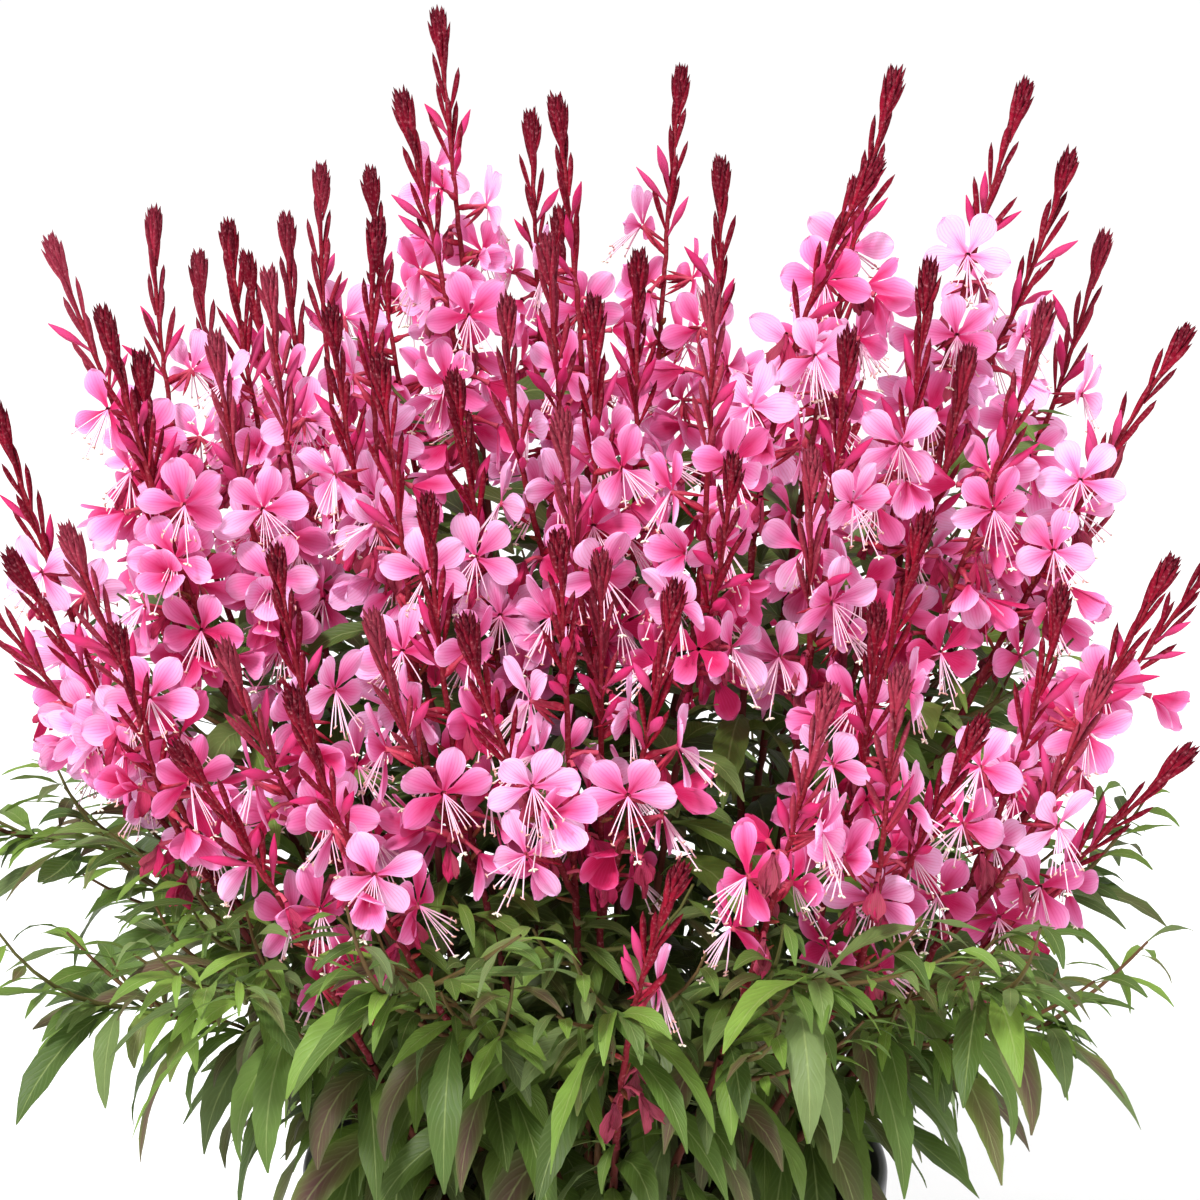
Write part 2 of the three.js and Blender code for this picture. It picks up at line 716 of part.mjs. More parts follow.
function solidOf(geometry) {
  const plain = geometry.index ? geometry.toNonIndexed() : geometry;
  plain.deleteAttribute('normal');
  plain.deleteAttribute('uv');
  const merged = mergeVertices(plain, 1e-4);
  const vertProperties = new Float32Array(merged.attributes.position.array);
  const index = Array.from(merged.index.array);
  const kept = [];
  for (let i = 0; i < index.length; i += 3) {
    const [a, b, c] = index.slice(i, i + 3);
    if (a !== b && b !== c && c !== a) kept.push(a, b, c);
  }
  return new wasm.Manifold(new wasm.Mesh({ numProp: 3, vertProperties, triVerts: new Uint32Array(kept) }));
}

function joined(solids) {
  return wasm.Manifold.union(solids);
}

function geometryOf(shape) {
  const mesh = shape.getMesh();
  const geometry = new THREE.BufferGeometry();
  geometry.setAttribute('position', new THREE.BufferAttribute(new Float32Array(mesh.vertProperties), 3));
  geometry.setIndex(new THREE.BufferAttribute(new Uint32Array(mesh.triVerts), 1));
  geometry.computeVertexNormals();
  return geometry;
}

// A ring of three points round a path, carried on without twist from the ring before it
function ringAt(run, i, lastWay, before, radius) {
  const way = i === run.length - 1 ? lastWay : unit(sub(run[i + 1], run[i]));
  const normal = across(before ?? [1, 0, 0], way);
  const side = cross(way, normal);
  const corners = [0, 120, 240].map((turn) =>
    along(along(run[i], normal, radius * Math.cos(rad(turn))), side, radius * Math.sin(rad(turn))),
  );
  return { base: run[i], way, normal, side, corners };
}

function ringsAlong(run, lastWay, radiusAt) {
  const rings = [];
  run.forEach((_, i) => rings.push(ringAt(run, i, lastWay, rings[i - 1]?.normal, radiusAt(i))));
  return rings;
}

// A three-sided stem along its run, with flat ends
function stemSolid(run) {
  const last = run.length - 1;
  const taper = (i) => STEM_RADIUS + ((STALK_RADIUS - STEM_RADIUS) * i) / last;
  const rings = ringsAlong(run, unit(sub(run[last], run[last - 1])), taper);
  const points = rings.flatMap((ring) => ring.corners);
  const faces = [[2, 1, 0], [last * 3, last * 3 + 1, last * 3 + 2]];
  for (let i = 0; i < last; i += 1) {
    for (let k = 0; k < 3; k += 1) {
      const a = i * 3 + k;
      const b = i * 3 + ((k + 1) % 3);
      faces.push([a, b, b + 3], [a, b + 3, a + 3]);
    }
  }
  return solid(points, faces);
}

// A flower stalk in one closed mesh: a plain three-sided foot, then steps that each carry one slender
// bud on one of their three sides, then the tip cluster as a cone of two whorls of bud ends
function spikeSolid(stalk) {
  const rings = ringsAlong(stalk.run, stalk.lastWay, () => STALK_RADIUS);
  const points = rings.flatMap((ring) => ring.corners);
  const faces = [[2, 1, 0]];
  for (let i = 0; i + 1 < rings.length; i += 1) {
    const { base, way, normal, side } = rings[i];
    for (let k = 0; k < 3; k += 1) {
      const a = i * 3 + k;
      const b = i * 3 + ((k + 1) % 3);
      if (i >= FIRST_BUD_STEP && k === i % 3) {
        const turn = rad(k * 120 + 60);
        const out = add(mul(normal, Math.cos(turn)), mul(side, Math.sin(turn)));
        const tip = points.push(along(along(base, way, BUD_RISE), out, BUD_OUT)) - 1;
        faces.push([a, b, tip], [b, b + 3, tip], [b + 3, a + 3, tip], [a + 3, a, tip]);
      } else {
        faces.push([a, b, b + 3], [a, b + 3, a + 3]);
      }
    }
  }
  const neck = rings[rings.length - 1];
  const neckStart = (rings.length - 1) * 3;
  const whorls = WHORLS.map(({ rise, near, far, lift }, w) => {
    const first = points.length;
    for (let k = 0; k < 6; k += 1) {
      const isTip = (k + w) % 2 === 0;
      const r = CLUSTER_RADIUS * (isTip ? far : near);
      const turn = rad(k * 60);
      const ring = along(along(neck.base, neck.normal, r * Math.cos(turn)), neck.side, r * Math.sin(turn));
      points.push(along(ring, neck.way, CLUSTER_LENGTH * (rise + (isTip ? lift : 0))));
    }
    return first;
  });
  const top = points.push(along(neck.base, neck.way, CLUSTER_LENGTH * CLUSTER_TOP)) - 1;
  const [low, high] = whorls;
  for (let k = 0; k < 6; k += 1) {
    const next = (k + 1) % 6;
    const nearest = neckStart + (Math.floor((k + 1) / 2) % 3);
    faces.push([nearest, low + next, low + k]);
    if (k % 2 === 0) {
      faces.push([neckStart + k / 2, neckStart + ((k / 2 + 1) % 3), low + k + 1]);
      faces.push([low + k, low + next, high + k], [low + next, high + next, high + k]);
    } else {
      faces.push([low + k, low + next, high + next], [low + k, high + next, high + k]);
    }
    faces.push([top, high + k, high + next]);
  }
  return solid(points, faces);
}

// A bloom: four petals as thin blades round a hub, on a narrow tube
function bloomSolid(bloom) {
  const points = [];
  const tilt = Math.sin(bloom.tilt);
  const angles = petalAngles(bloom.spread);
  angles.forEach((a, k) => {
    const before = k === 0 ? (angles[0] + angles[3] - 2 * Math.PI) / 2 : (angles[k - 1] + a) / 2;
    points.push(inBloom(bloom, HUB_RADIUS, before, 0, 0));
    points.push(inBloom(bloom, PETAL_REACH, a, -PETAL_HALF_WIDTH, PETAL_REACH * tilt));
    points.push(inBloom(bloom, PETAL_REACH, a, PETAL_HALF_WIDTH, PETAL_REACH * tilt));
  });
  const top = points.push(along(bloom.hub, bloom.facing, HUB_HEIGHT)) - 1;
  const bottom = points.push(bloom.root) - 1;
  const faces = [];
  const count = angles.length * 3;
  for (let i = 0; i < count; i += 1) faces.push([top, i, (i + 1) % count]);
  for (let k = 0; k < 4; k += 1) {
    const w = k * 3;
    const next = (w + 3) % count;
    faces.push([w, w + 2, w + 1], [w, next, w + 2]);
  }
  faces.push([bottom, 3, 0], [bottom, 6, 3], [bottom, 0, 6], [9, 6, 0]);
  return solid(points, faces);
}

// A leaf: a thin arched blade, flat above and keeled below along its midrib. Long ones bend twice.
function leafSolid(leaf) {
  const level = [-Math.sin(leaf.azimuth), Math.cos(leaf.azimuth), 0];
  const stations = leaf.length > LONG_LEAF ? LONG_LEAF_STATIONS : SHORT_LEAF_STATIONS;
  const points = [leafPoint(leaf, 0)];
  for (const t of stations) {
    const p = leafPoint(leaf, t);
    const tangent = unit(sub(leafPoint(leaf, t + 0.01), leafPoint(leaf, t - 0.01)));
    const face = cross(tangent, level);
    const side = add(mul(level, Math.cos(leaf.roll)), mul(face, Math.sin(leaf.roll)));
    const above = cross(tangent, side);
    const half = leaf.width / 2;
    points.push(along(p, side, half), along(p, above, -LEAF_THICKNESS), along(p, side, -half));
  }
  points.push(leafPoint(leaf, 1));
  const last = points.length - 1;
  const faces = [];
  for (let k = 0; k < 3; k += 1) {
    const next = (k + 1) % 3;
    faces.push([0, 1 + k, 1 + next]);
    for (let i = 1; i + 3 < last; i += 3) {
      faces.push([i + k, i + 3 + k, i + next], [i + next, i + 3 + k, i + 3 + next]);
    }
    faces.push([last, last - 3 + next, last - 3 + k]);
  }
  return solid(points, faces);
}

// Pot and soil
function potGeometry() {
  const inner = (z) => {
    const share = (z - FLOOR) / (POT_HEIGHT - LIP_DEPTH);
    return POT_BASE_RADIUS - WALL + (POT_WALL_RADIUS - POT_BASE_RADIUS) * share;
  };
  const profile = [
    [0, 0],
    [POT_BASE_RADIUS - FOOT_CHAMFER, 0],
    [POT_BASE_RADIUS, FOOT_CHAMFER],
    [POT_WALL_RADIUS, POT_HEIGHT - LIP_DEPTH],
    [RIM_RADIUS - LIP_TUCK, POT_HEIGHT - LIP_DEPTH],
    [RIM_RADIUS, POT_HEIGHT - LIP_CHAMFER],
    [RIM_RADIUS - LIP_CHAMFER, POT_HEIGHT],
    [RIM_RADIUS - LIP_WIDTH, POT_HEIGHT],
    [inner(POT_HEIGHT - LIP_DEPTH), POT_HEIGHT - LIP_DEPTH],
    [inner(FLOOR), FLOOR],
    [0, FLOOR],
  ].map(([r, z]) => new THREE.Vector2(r, z));
  let pot = solidOf(upright(new THREE.LatheGeometry(profile, POT_SIDES)));
  for (let i = 0; i < DRAIN_HOLES; i += 1) {
    const a = rad((360 / DRAIN_HOLES) * i);
    const hole = new THREE.CylinderGeometry(DRAIN_RADIUS, DRAIN_RADIUS, FLOOR * 4, DRAIN_SIDES);
    hole.rotateX(Math.PI / 2).translate(DRAIN_RING * Math.cos(a), DRAIN_RING * Math.sin(a), 0);
    pot = pot.subtract(solidOf(hole));
  }
  return geometryOf(pot);
}

// A lathe turns about Y: stand its axis along Z
function upright(geometry) {
  return geometry.rotateX(Math.PI / 2);
}

function soilRadius(z) {
  const share = (z - FLOOR) / (POT_HEIGHT - LIP_DEPTH);
  return POT_BASE_RADIUS - WALL - SOIL_CLEAR + (POT_WALL_RADIUS - POT_BASE_RADIUS) * share;
}

function soilGeometry() {
  const draw = draws(SOIL_SEED);
  const rings = [soilRadius(SOIL_TOP), ...SOIL_RINGS.slice().reverse()];
  const points = [];
  const faces = [];
  for (let k = 0; k < SOIL_SIDES; k += 1) {
    const a = rad((360 / SOIL_SIDES) * k);
    const low = FLOOR + SOIL_CLEAR;
    points.push([soilRadius(low) * Math.cos(a), soilRadius(low) * Math.sin(a), low]);
  }
  rings.forEach((r, j) => {
    for (let k = 0; k < SOIL_SIDES; k += 1) {
      const a = rad((360 / SOIL_SIDES) * k);
      const lift = j === 0 ? 0 : (draw() - SOIL_DIP) * SOIL_RELIEF;
      points.push([r * Math.cos(a), r * Math.sin(a), SOIL_TOP + lift]);
    }
  });
  const bottom = points.push([0, 0, FLOOR + SOIL_CLEAR]) - 1;
  const top = points.push([0, 0, SOIL_TOP]) - 1;
  const last = rings.length * SOIL_SIDES;
  for (let k = 0; k < SOIL_SIDES; k += 1) {
    const next = (k + 1) % SOIL_SIDES;
    faces.push([bottom, next, k], [top, last + k, last + next]);
    for (let j = 0; j < last; j += SOIL_SIDES) {
      const up = j + SOIL_SIDES;
      faces.push([j + k, j + next, up + next], [j + k, up + next, up + k]);
    }
  }
  let soil = solid(points, faces);
  for (const [x, y] of crowns) {
    const depth = CROWN_DEPTH + SOIL_CLEAR;
    const r = CROWN_RADIUS + SOIL_CLEAR;
    const hole = new THREE.CylinderGeometry(r, r, depth + CUT_ABOVE, CROWN_SIDES);
    hole.rotateX(Math.PI / 2).translate(x, y, SOIL_TOP + (CUT_ABOVE - depth) / 2);
    soil = soil.subtract(solidOf(hole));
  }
  return geometryOf(soil);
}

function crownSolid([x, y]) {
  const r = CROWN_RADIUS;
  const body = new THREE.CylinderGeometry(r * CROWN_NECK, r, CROWN_HEIGHT, CROWN_SIDES);
  body.rotateX(Math.PI / 2).translate(x, y, SOIL_TOP + CROWN_HEIGHT / 2);
  const root = new THREE.CylinderGeometry(r, r * CROWN_TOE, CROWN_DEPTH, CROWN_SIDES);
  root.rotateX(Math.PI / 2).translate(x, y, SOIL_TOP - CROWN_DEPTH / 2);
  return joined([solidOf(body), solidOf(root)]);
}

function clumpGeometry(k) {
  const solids = [crownSolid(crowns[k])];
  for (const stem of [...stems, ...shoots].filter((s) => s.crown === k)) {
    solids.push(stemSolid(stem.stemRun));
  }
  for (const leaf of leaves[k]) solids.push(leafSolid(leaf));
  return geometryOf(joined(solids));
}

function sprayGeometry(stem) {
  const solids = [...stem.stalks.map(spikeSolid), ...stem.blooms.map(bloomSolid)];
  return geometryOf(joined(solids));
}

// Finishes
const finish = (color, roughness) => new THREE.MeshStandardMaterial({ color, roughness, metalness: 0 });
const potFinish = finish(0x3a3d40, 0.42);
const soilFinish = finish(0x2a1f18, 0.95);
const leafFinish = finish(0x4f7f36, 0.55);
const sprayFinish = finish(0xd9487f, 0.6);

function piece(name, geometry, material) {
  const mesh = new THREE.Mesh(geometry, material);
  mesh.name = name;
  return mesh;
}

const twoDigits = (n) => String(n).padStart(2, '0');
const plant = new THREE.Group();
plant.add(piece('pot', potGeometry(), potFinish));
plant.add(piece('soil', soilGeometry(), soilFinish));
crowns.forEach((_, k) => plant.add(piece(`leafy_clump_${k + 1}`, clumpGeometry(k), leafFinish)));
stems.forEach((stem) => plant.add(piece(`spray_${twoDigits(stem.i + 1)}`, sprayGeometry(stem), sprayFinish)));

export default plant;
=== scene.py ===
import math
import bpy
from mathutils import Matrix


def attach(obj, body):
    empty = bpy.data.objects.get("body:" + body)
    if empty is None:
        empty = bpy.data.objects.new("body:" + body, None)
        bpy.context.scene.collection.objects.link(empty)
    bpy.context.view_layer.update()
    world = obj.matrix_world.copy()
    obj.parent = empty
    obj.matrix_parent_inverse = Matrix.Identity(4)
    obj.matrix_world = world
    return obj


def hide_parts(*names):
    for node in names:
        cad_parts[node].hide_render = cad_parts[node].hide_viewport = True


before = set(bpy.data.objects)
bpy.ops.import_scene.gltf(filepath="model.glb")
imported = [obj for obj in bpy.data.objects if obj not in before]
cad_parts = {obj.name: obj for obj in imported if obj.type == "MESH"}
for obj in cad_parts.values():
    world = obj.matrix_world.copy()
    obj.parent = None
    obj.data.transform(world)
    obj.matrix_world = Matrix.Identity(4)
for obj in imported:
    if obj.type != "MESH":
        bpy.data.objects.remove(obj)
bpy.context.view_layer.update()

from types import SimpleNamespace as Rule

import bmesh
import bpy
import numpy as np
from mathutils import Matrix, Vector

# A potted gaura in flower. The plant grows here by the same seeded rule as its solids do, in
# millimetres, so each fine piece lies where the solid that it stands for lies.

MM = 0.001

# Sizes shared with the solids
POT_HEIGHT = 156
POT_BASE_RADIUS = 75
POT_WALL_RADIUS = 97
RIM_RADIUS = 102
LIP_DEPTH = 13
WALL = 2.2
FLOOR = 2.6
DRAIN_HOLES = 6
DRAIN_RADIUS = 5
DRAIN_RING = 52
SOIL_TOP = 138
SOIL_CLEAR = 0.35
CROWN_RING = 44
CROWN_RADIUS = 12
OUTER_CROWNS = 6
BASE_SHARE = 0.26
BASE_REACH = 6
BASE_RISE = 2
STALK_LENGTH = 150
STALK_SHARE = 0.6
STALK_GAP = 0.4
SPIKE_LENGTH = 52
STEM_STEPS = 3
FORK_RISE = 12
FORK_TURN = 0.5
CURVE_STEPS = 48
CURVE_REACH = 0.36
TIP_LEAN_REACH = 420
LEAST_STEEP = 0.5
STEEP_RANGE = 0.7
SHOOT_STEEP = 1.1
SHOOT_TIP_STEEP = 0.1
STEM_BALL = 2.2
STALK_BALL = 1.6
BUD_BALL = 4
CLUSTER_BALL = 4.2
POT_ROOM = 1
WALL_ROOM = 2
SOIL_ROOM = 2.8
STEM_BALL_STEP = 4
STALK_BALL_STEP = 3
BUD_BALL_STEP = 5
TUBE_MIDDLE = 0.6
TUBE_BALL = 1.6
HUB_BALL = 2.2
LEAF_BALL_STEP = 6
LEAF_BALL_SHARE = 0.85
LEAST_LEAF_BALL = 1.2
BASE_SPREAD = 0.5
STEM_FOOT = 8
SHOOT_TURN = 2
CLAW_OUT = 5
CLAW_BALL = 2.4
BLADE_OUT = 11.6
BLADE_ASIDE = 2.6
BLADE_BALL = 2.8
BASE_SHIFT = 6
TIP_SHIFT = 24
FORK_SHIFT = 30
DEPTH_SHIFT = 50
SHOOT_SHIFT = 40
SHOOT_LIFT = 30
STEM_SEED = 1000
SHOOT_SEED = 2000
LEAF_SEED = 5300
RIM_SEED = 9000
CLUSTER_LENGTH = 22
BUD_STEPS = 3
BUD_SPACING = 10
PETAL_REACH = 15
TUBE_LENGTH = 10.5
PETAL_SIDE_ANGLE = 98
PETAL_TOP_ANGLE = 33
BLOOM_SPACING = 12
BLOOM_BELOW = 7
BLOOM_FOOT = 12
BLOOM_DROP = 10
BLOOM_RETRY_TURN = 47
TUBE_SWING = 0.7
FACE_SWING = 0.55
LEAST_TUBE_RISE = 5
TUBE_RISE_RANGE = 40
FACE_DROOP = 0.35
FACE_TILT_RANGE = 0.8
BLOOM_ROLL_RANGE = 50
USUAL_SHARE = 0.7
WIDE_SPREAD = 1.34
LEAST_PETAL_TILT = -14
PETAL_TILT_RANGE = 32
GOLDEN_ANGLE = 137.508
STEM_TRIES = 60
BLOOM_TRIES = 40
LEAF_TRIES = 16
RIM_LEAVES = 5
STEM_LEAF = Rule(
    spacing=110, foot=14, end=2, uneven=0.6, length=80, shorter=30, extra=9, turn=50, swing=0.5,
    start_slope=6, end_slope=-94, flatter=44,
)
SHOOT_LEAF = Rule(
    spacing=24, foot=30, end=0, uneven=0.4, length=66, shorter=18, extra=8, turn=64, closer=50,
    start_slope=8, end_slope=-84, flatter=0,
)
RIM_LEAF = Rule(out=7, up=3, fan=64, length=106, start_slope=52, end_slope=-78)
LEAF_SLIM = 0.165
LEAF_SLIM_RANGE = 0.04
LEAF_BULGE = 1.1
LEAF_SHRINK = 0.035
LEAF_TURN = 0.4
LEAF_RETRY_TURN = 0.22
START_SLOPE_RANGE = 40
END_SLOPE_RANGE = 44
LEAF_ROLL_RANGE = 80

# Tip of each flower spray: across, back, height above the rim, lean to the right in degrees, blooms,
# and for a forked spray the same first four of its second tip
SPRAYS = [
    (-197, 0, 269, -14, 6),
    (-180, -80, 239, -26, 5),
    (-181, 20, 322, -19, 5),
    (-151, -60, 311, -10, 5, (-141, -50, 296, -4)),
    (-152, 70, 325, 3, 4),
    (-126, 60, 322, -4, 3, (-140, 90, 307, 0)),
    (-119, -40, 300, -4, 5),
    (-107, 10, 313, -3, 5),
    (-97, 100, 337, 2, 4, (-109, 86, 321, -4)),
    (-62, -10, 372, -13, 5),
    (-56, 110, 390, -6, 4),
    (-13, 0, 370, -8, 5),
    (-66, -50, 336, 8, 5, (-80, -68, 313, -4)),
    (-64, -95, 302, -6, 5),
    (-44, -60, 291, -8, 5),
    (-15, -48, 332, -5, 5, (-26, -72, 316, 3)),
    (0, -78, 317, 0, 5, (-10, -98, 286, -4)),
    (-48, -122, 266, 0, 5, (-64, -140, 236, -8)),
    (-92, -128, 252, -3, 5, (-106, -144, 228, -10)),
    (-156, -110, 254, -15, 5, (-140, -126, 228, -10)),
    (31, 110, 370, 6, 5),
    (43, 66, 343, -1, 4),
    (14, -12, 322, 0, 6),
    (34, -108, 325, -2, 6, (40, -124, 278, 2)),
    (95, -20, 380, 14, 6),
    (87, -62, 356, 30, 6),
    (139, 0, 374, 18, 6, (157, 22, 350, 14)),
    (104, -42, 323, 2, 6, (120, -20, 292, 8)),
    (76, -86, 308, 3, 6, (64, -104, 276, 0)),
    (142, -40, 310, 12, 6),
    (191, -20, 298, 30, 6, (174, 12, 257, 8)),
    (98, -114, 259, 12, 5, (82, -132, 236, 2)),
    (181, -62, 233, 22, 5),
    (137, -122, 238, 5, 5, (150, -128, 214, 16)),
    (2, -136, 252, 0, 6, (24, -146, 246, 8)),
    (-10, -150, 262, -2, 6, (-36, -160, 240, -6)),
    (112, -148, 206, 20, 5, (86, -164, 226, 4)),
    (-121, -152, 200, -30, 5),
    (26, -176, 172, 20, 2),
    (190, -66, 172, 40, 5),
    (-84, -172, 222, -10, 5),
    (66, -176, 224, 10, 5),
    (-208, -34, 226, -34, 5),
    (-130, 140, 300, -10, 3),
    (-84, 150, 330, -6, 4),
    (-24, 140, 352, -3, 4),
    (102, 160, 272, 10, 2),
    (176, 60, 318, 14, 5),
    (208, -24, 232, 32, 5),
    (92, 84, 334, 8, 4),
    (-14, 130, 318, -2, 5),
]


# Tip of each leafy shoot with no flowers: across, back, height above the rim
SHOOTS = [
    (-184, -30, 128),
    (-152, -90, 92),
    (-112, -128, 112),
    (-60, -150, 120),
    (6, -148, 112),
    (66, -146, 122),
    (120, -122, 110),
    (142, -88, 84),
    (160, -14, 104),
    (132, 92, 84),
    (-20, 172, 78),
    (-158, 96, 88),
    (78, 148, 92),
    (-92, 146, 84),
]


# Small vector helpers on (x, y, z) tuples
def add(a, b):
    return (a[0] + b[0], a[1] + b[1], a[2] + b[2])


def sub(a, b):
    return (a[0] - b[0], a[1] - b[1], a[2] - b[2])


def mul(a, k):
    return (a[0] * k, a[1] * k, a[2] * k)


def along(a, d, k):
    return (a[0] + d[0] * k, a[1] + d[1] * k, a[2] + d[2] * k)


def dot(a, b):
    return a[0] * b[0] + a[1] * b[1] + a[2] * b[2]


def cross(a, b):
    return (
        a[1] * b[2] - a[2] * b[1],
        a[2] * b[0] - a[0] * b[2],
        a[0] * b[1] - a[1] * b[0],
    )


def size(a):
    return math.sqrt(dot(a, a))


def unit(a):
    return mul(a, 1 / size(a))


def mix(a, b, t):
    return add(mul(a, 1 - t), mul(b, t))


def across(a, d):
    return unit(sub(a, mul(d, dot(a, d))))


def rad(degrees):
    return degrees * math.pi / 180


# A seeded draw between 0 and 1, the same on every run and the same as the solids' own
WORD = 0xFFFFFFFF


def draws(seed):
    state = seed

    def draw():
        nonlocal state
        state = (state + 0x6D2B79F5) & WORD
        t = state
        t = ((t ^ (t >> 15)) * (t | 1)) & WORD
        t ^= (t + (t ^ (t >> 7)) * (t | 61)) & WORD
        return ((t ^ (t >> 14)) & WORD) / 4294967296

    return draw


# What has grown so far, as balls with an owner, so that one piece never grows through another
CELL = 12
TOUCH = 0.5
NOBODY = "none/"
NEIGHBOURS = [(i, j, k) for i in (-1, 0, 1) for j in (-1, 0, 1) for k in (-1, 0, 1)]
taken = {}


def cell_of(p):
    return (math.floor(p[0] / CELL), math.floor(p[1] / CELL), math.floor(p[2] / CELL))


def claim(balls, owner):
    for p, r in balls:
        taken.setdefault(cell_of(p), []).append((p, r, owner))


def crowding(balls, carrier, limit=1):
    """How many balls touch what others hold, counted up to a limit. The carrier's own are skipped."""
    hits = 0
    for p, r in balls:
        ci, cj, ck = cell_of(p)
        for i, j, k in NEIGHBOURS:
            for q, s, other in taken.get((ci + i, cj + j, ck + k), ()):
                far = r + s + TOUCH
                d = sub(p, q)
                if dot(d, d) < far * far and not other.startswith(carrier):
                    hits += 1
        if hits >= limit:
            break
    return hits


def clear_of_pot(balls):
    for p, r in balls:
        out = math.hypot(p[0], p[1])
        over = p[2] - r > POT_HEIGHT + POT_ROOM or out - r > RIM_RADIUS + POT_ROOM
        inside = out + r < POT_WALL_RADIUS - WALL - WALL_ROOM and p[2] - r > SOIL_TOP + SOIL_ROOM
        if not over and not inside:
            return False
    return True


def stalk_curve(root, root_way, tip, tip_way):
    reach = size(sub(tip, root)) * CURVE_REACH
    a = along(root, root_way, reach)
    b = along(tip, tip_way, -reach)
    points = []
    for i in range(CURVE_STEPS + 1):
        t = i / CURVE_STEPS
        low = mix(mix(root, a, t), mix(a, b, t), t)
        high = mix(mix(a, b, t), mix(b, tip, t), t)
        points.append(mix(low, high, t))
    return points


def length_of(points):
    return sum(size(sub(b, a)) for a, b in zip(points, points[1:]))


def point_at(points, distance):
    """The point and direction at a distance along a polyline."""
    left = distance
    for i in range(1, len(points)):
        leg = sub(points[i], points[i - 1])
        step = size(leg)
        if left <= step or i == len(points) - 1:
            return mix(points[i - 1], points[i], left / step), unit(leg)
        left -= step


def sampled(points, distances):
    return [point_at(points, d)[0] for d in distances]


def evenly(start, end, steps):
    return [start + (end - start) * i / steps for i in range(steps + 1)]


def stalk_stations(start, total):
    bud_foot = total - CLUSTER_LENGTH - BUD_STEPS * BUD_SPACING
    return [start, (start + bud_foot) / 2] + evenly(bud_foot, total - CLUSTER_LENGTH, BUD_STEPS)


def make_stalk(points, start):
    total = length_of(points)
    return {
        "points": points,
        "start": start,
        "total": total,
        "run": sampled(points, stalk_stations(start, total)),
        "length": total - start - CLUSTER_LENGTH,
    }


def balls_along(points, start, end, radius, step):
    count = max(1, math.ceil((end - start) / step))
    return [(point_at(points, start + (end - start) * i / count)[0], radius) for i in range(count + 1)]


crowns = [(0, 0)]
for i in range(OUTER_CROWNS):
    turn = rad(360 / OUTER_CROWNS * (i + 0.5))
    crowns.append((CROWN_RING * math.cos(turn), CROWN_RING * math.sin(turn)))


def nearest_crown(x, y):
    best = 0
    for i, (cx, cy) in enumerate(crowns):
        bx, by = crowns[best]
        if math.hypot(x - cx, y - cy) < math.hypot(x - bx, y - by) - 1e-6:
            best = i
    return best


def tip_direction(tip):
    return unit((math.tan(rad(tip[3])), tip[1] / TIP_LEAN_REACH, 1))


def stalk_balls(points, start):
    total = length_of(points)
    return (
        balls_along(points, start, total - SPIKE_LENGTH, STALK_BALL, STALK_BALL_STEP)
        + balls_along(points, total - SPIKE_LENGTH, total - CLUSTER_LENGTH, BUD_BALL, BUD_BALL_STEP)
        + balls_along(points, total - CLUSTER_LENGTH, total, CLUSTER_BALL, BUD_BALL_STEP)
    )


def junction_of(points):
    total = length_of(points)
    return total - min(STALK_LENGTH, total * STALK_SHARE)


def loose_tip(row, shift, loose, draw):
    x = row[0] + (draw() - 0.5) * shift * loose
    y = row[1] + (draw() - 0.5) * DEPTH_SHIFT * loose
    return (x, y, row[2] + POT_HEIGHT)


def least_crowded(propose):
    """Of many proposals, the first that touches nothing, or else the one that touches least."""
    best = None
    for attempt in range(STEM_TRIES):
        points, parts = propose(attempt / STEM_TRIES)
        most = best[0] if best else math.inf
        hits = 0
        for balls, carrier, _ in parts:
            if hits < most:
                hits += crowding(balls, carrier, most - hits)
        if hits < most:
            best = (hits, points, parts)
        if best[0] == 0:
            break
    for balls, _, owner in best[2]:
        claim(balls, owner)
    return best[1]


def grow_stem(row, i):
    draw = draws(STEM_SEED + i)
    base = (row[0] * BASE_SHARE, row[1] * BASE_SHARE)
    k = nearest_crown(*base)
    cx, cy = crowns[k]

    def propose(loose):
        dx = (base[0] - cx) * BASE_SPREAD + (draw() - 0.5) * BASE_SHIFT
        dy = (base[1] - cy) * BASE_SPREAD + (draw() - 0.5) * BASE_SHIFT
        pull = min(1, BASE_REACH / math.hypot(dx, dy))
        root = (cx + dx * pull, cy + dy * pull, SOIL_TOP + BASE_RISE)
        tip = loose_tip(row, TIP_SHIFT, loose, draw)
        steep = LEAST_STEEP + STEEP_RANGE * draw()
        out = unit((tip[0] - root[0], tip[1] - root[1], (tip[2] - root[2]) * steep))
        points = stalk_curve(root, out, tip, tip_direction(row))
        junction = junction_of(points)
        stem_balls = balls_along(points, STEM_FOOT, junction, STEM_BALL, STEM_BALL_STEP)
        return points, [
            (stem_balls, f"clump{k}/", f"clump{k}/stem{i}/"),
            (stalk_balls(points, junction), f"spray{i}/", f"spray{i}/stalk/"),
        ]

    points = least_crowded(propose)
    junction = junction_of(points)
    return {
        "i": i,
        "crown": k,
        "row": row,
        "draw": draw,
        "points": points,
        "junction": junction,
        "stem_run": sampled(points, evenly(0, junction - STALK_GAP, STEM_STEPS)),
        "stalks": [make_stalk(points, junction)],
    }


def grow_fork(stem):
    if len(stem["row"]) < 6:
        return
    side = stem["row"][5]
    spray = f"spray{stem['i']}/"
    root, way = point_at(stem["stalks"][0]["run"], FORK_RISE)

    def propose(loose):
        tip = loose_tip(side, FORK_SHIFT, loose, stem["draw"])
        out = unit(add(way, mul(unit((tip[0] - root[0], tip[1] - root[1], 0)), FORK_TURN)))
        points = stalk_curve(root, out, tip, tip_direction(side))
        return points, [(stalk_balls(points, 0), spray, spray + "stalk/")]

    stem["stalks"].append(make_stalk(least_crowded(propose), 0))


